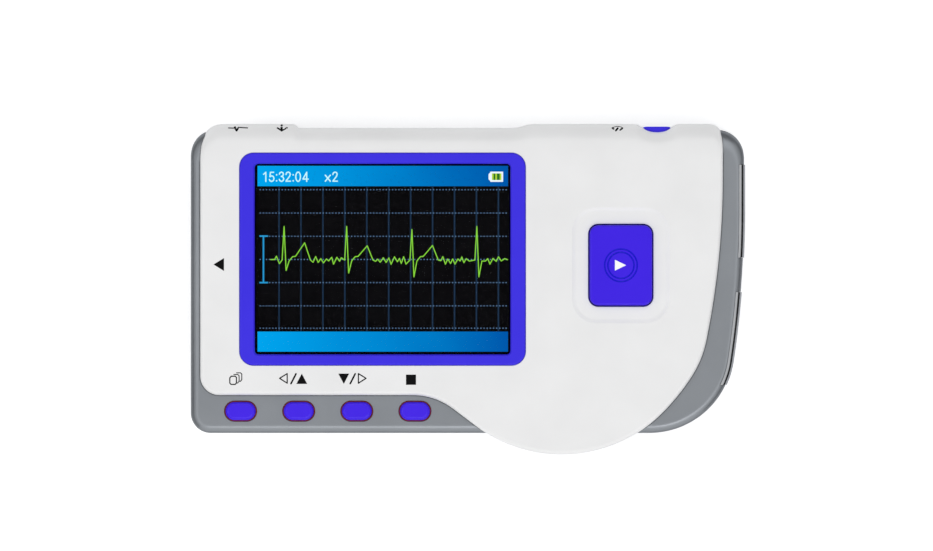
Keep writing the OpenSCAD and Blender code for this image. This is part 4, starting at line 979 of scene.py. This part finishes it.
# Three sheets of paper, one behind the other: the front one whole, the others as far as
# they show.
page = ((229.8, 378), (231.2, 376.2), (235.2, 376.2), (236.4, 377.4), (236.4, 383), (235.2, 384.4),
        (231, 384.4), (229.8, 383))
shown, shown_rise = (*page[1:6], (234.6, 384.8)), 0.62
mark = bmesh.new()
line(mark, path(*page, page[0]), 0.26)
for shift in (2.7, 5.4):
    line(mark, path(*((across + shift, down - shown_rise * shift) for across, down in shown)), 0.22)
printed("menu_mark", mark)

# The two arrow keys have a hollow and a solid triangle each, with a slanted stroke between.
arrow_signs = (("left_mark", ((279.6, 378.3), (287.2, 373.6), (287.2, 383.2)),
                ((291, 383.6), (296, 373.8)), ((296.3, 383.9), (307.2, 383.9), (301.8, 373.6))),
               ("right_mark", ((366, 378.3), (358.4, 373.6), (358.4, 383.2)),
                ((350.2, 383.6), (355.2, 373.8)), ((338.3, 373.6), (343.8, 383.9), (349.2, 373.6))))
for name, hollow, stroke, solid in arrow_signs:
    mark = bmesh.new()
    line(mark, path(*hollow, hollow[0]), 0.27)
    line(mark, path(*stroke), 0.38)
    sheet(mark, *path(*solid))
    printed(name, mark)

stop_edges = (406, 374.6, 416, 384.8)
mark = bmesh.new()
pane(mark, *stop_edges)
printed("stop_mark", mark)

# The signs over the two sockets are plain lines, each with its own width.
socket_signs = (("lead_mark", (((228, 127.6), (233, 127.8), (234.6, 126.4), (236.4, 130.6), (238, 127),
                                (247, 127.6)), 0.25), (((234, 127), (236.2, 130.4), (237.4, 128)), 0.42)),
                ("data_mark", (((277, 127.6), (281.4, 130.4), (286.6, 127.4)), 0.36),
                 (((281, 124.9), (281.2, 130.2)), 0.52)))
for name, *lines in socket_signs:
    mark = bmesh.new()
    for places, width in lines:
        line(mark, path(*places), width)
    printed(name, mark)

# A ring that is open below and a slanted stroke in the gap. The ring is thin at its top,
# where it curls away over the edge.
ring_x, ring_y, ring_across, ring_down = 618, 128, 5, 1.9
ring_strokes = (((620.4, 129.8), (622.9, 127.7), 0.34), ((612.9, 127.7), (613.9, 128.3), 0.44),
                ((616.1, 130.3), (618.1, 127.9), 0.42))
ring_turns = [direction(a) for a in range(320, 581, 20)]
mark = bmesh.new()
line(mark, path(*((ring_x + ring_across * at.x, ring_y - ring_down * at.y) for at in ring_turns)), 0.16)
for start, end, width in ring_strokes:
    line(mark, path(start, end), width)
printed("power_mark", mark)

start_sign = ((614.8, 259.8), (614.8, 270.6), (626, 265.2))
mark = bmesh.new()
sheet(mark, *path(*start_sign))
printed("start_mark", mark, measure_cap, white_ink, "measure_key")

# ---------------------------- sockets
# Under the left bump of the top edge are the round socket for the lead set, a black moulded
# jack, and the flat data socket, a folded steel shell with a tongue.
black_plastic = moulding("black moulded plastic", (26, 26, 28), (34, 34, 36), 0.42)
coat(black_plastic, "lead_socket", "flex_connector", "processor", "memory_chip", "key_switches",
     "measure_switch", "power_switch", "buzzer")
steel = moulding("plated steel", (186, 188, 192), (204, 206, 210), 0.24, grain=700, cloud=240,
                 depth=0.000003, metallic=1.0)
coat(steel, "data_socket", "amplifier_shield", "crystal", "case_screws", "battery_springs", "battery_plates")

# ---------------------------- board and what is on it
# A green circuit board lies on the roof of the battery bay. It carries the chips, the
# shielded amplifier, the switches, the buzzer and the brass clips behind the electrodes.
coat(moulding("green solder mask", (18, 84, 46), (26, 100, 56), 0.35, grain=1400, cloud=420,
              depth=0.00002), "main_board")
coat(moulding("brass spring", (196, 164, 92), (212, 182, 110), 0.28, metallic=1.0),
     "electrode_contacts")
coat(moulding("amber film", (172, 104, 30), (190, 120, 40), 0.3), "lcd_flex")

# ---------------------------- batteries
# Two AAA cells lie side by side and head to tail. Their plain jackets are shrunk on.
coat(moulding("cell jacket", (150, 92, 40), (166, 106, 50), 0.25, cloud=60),
     "battery_upper", "battery_lower")
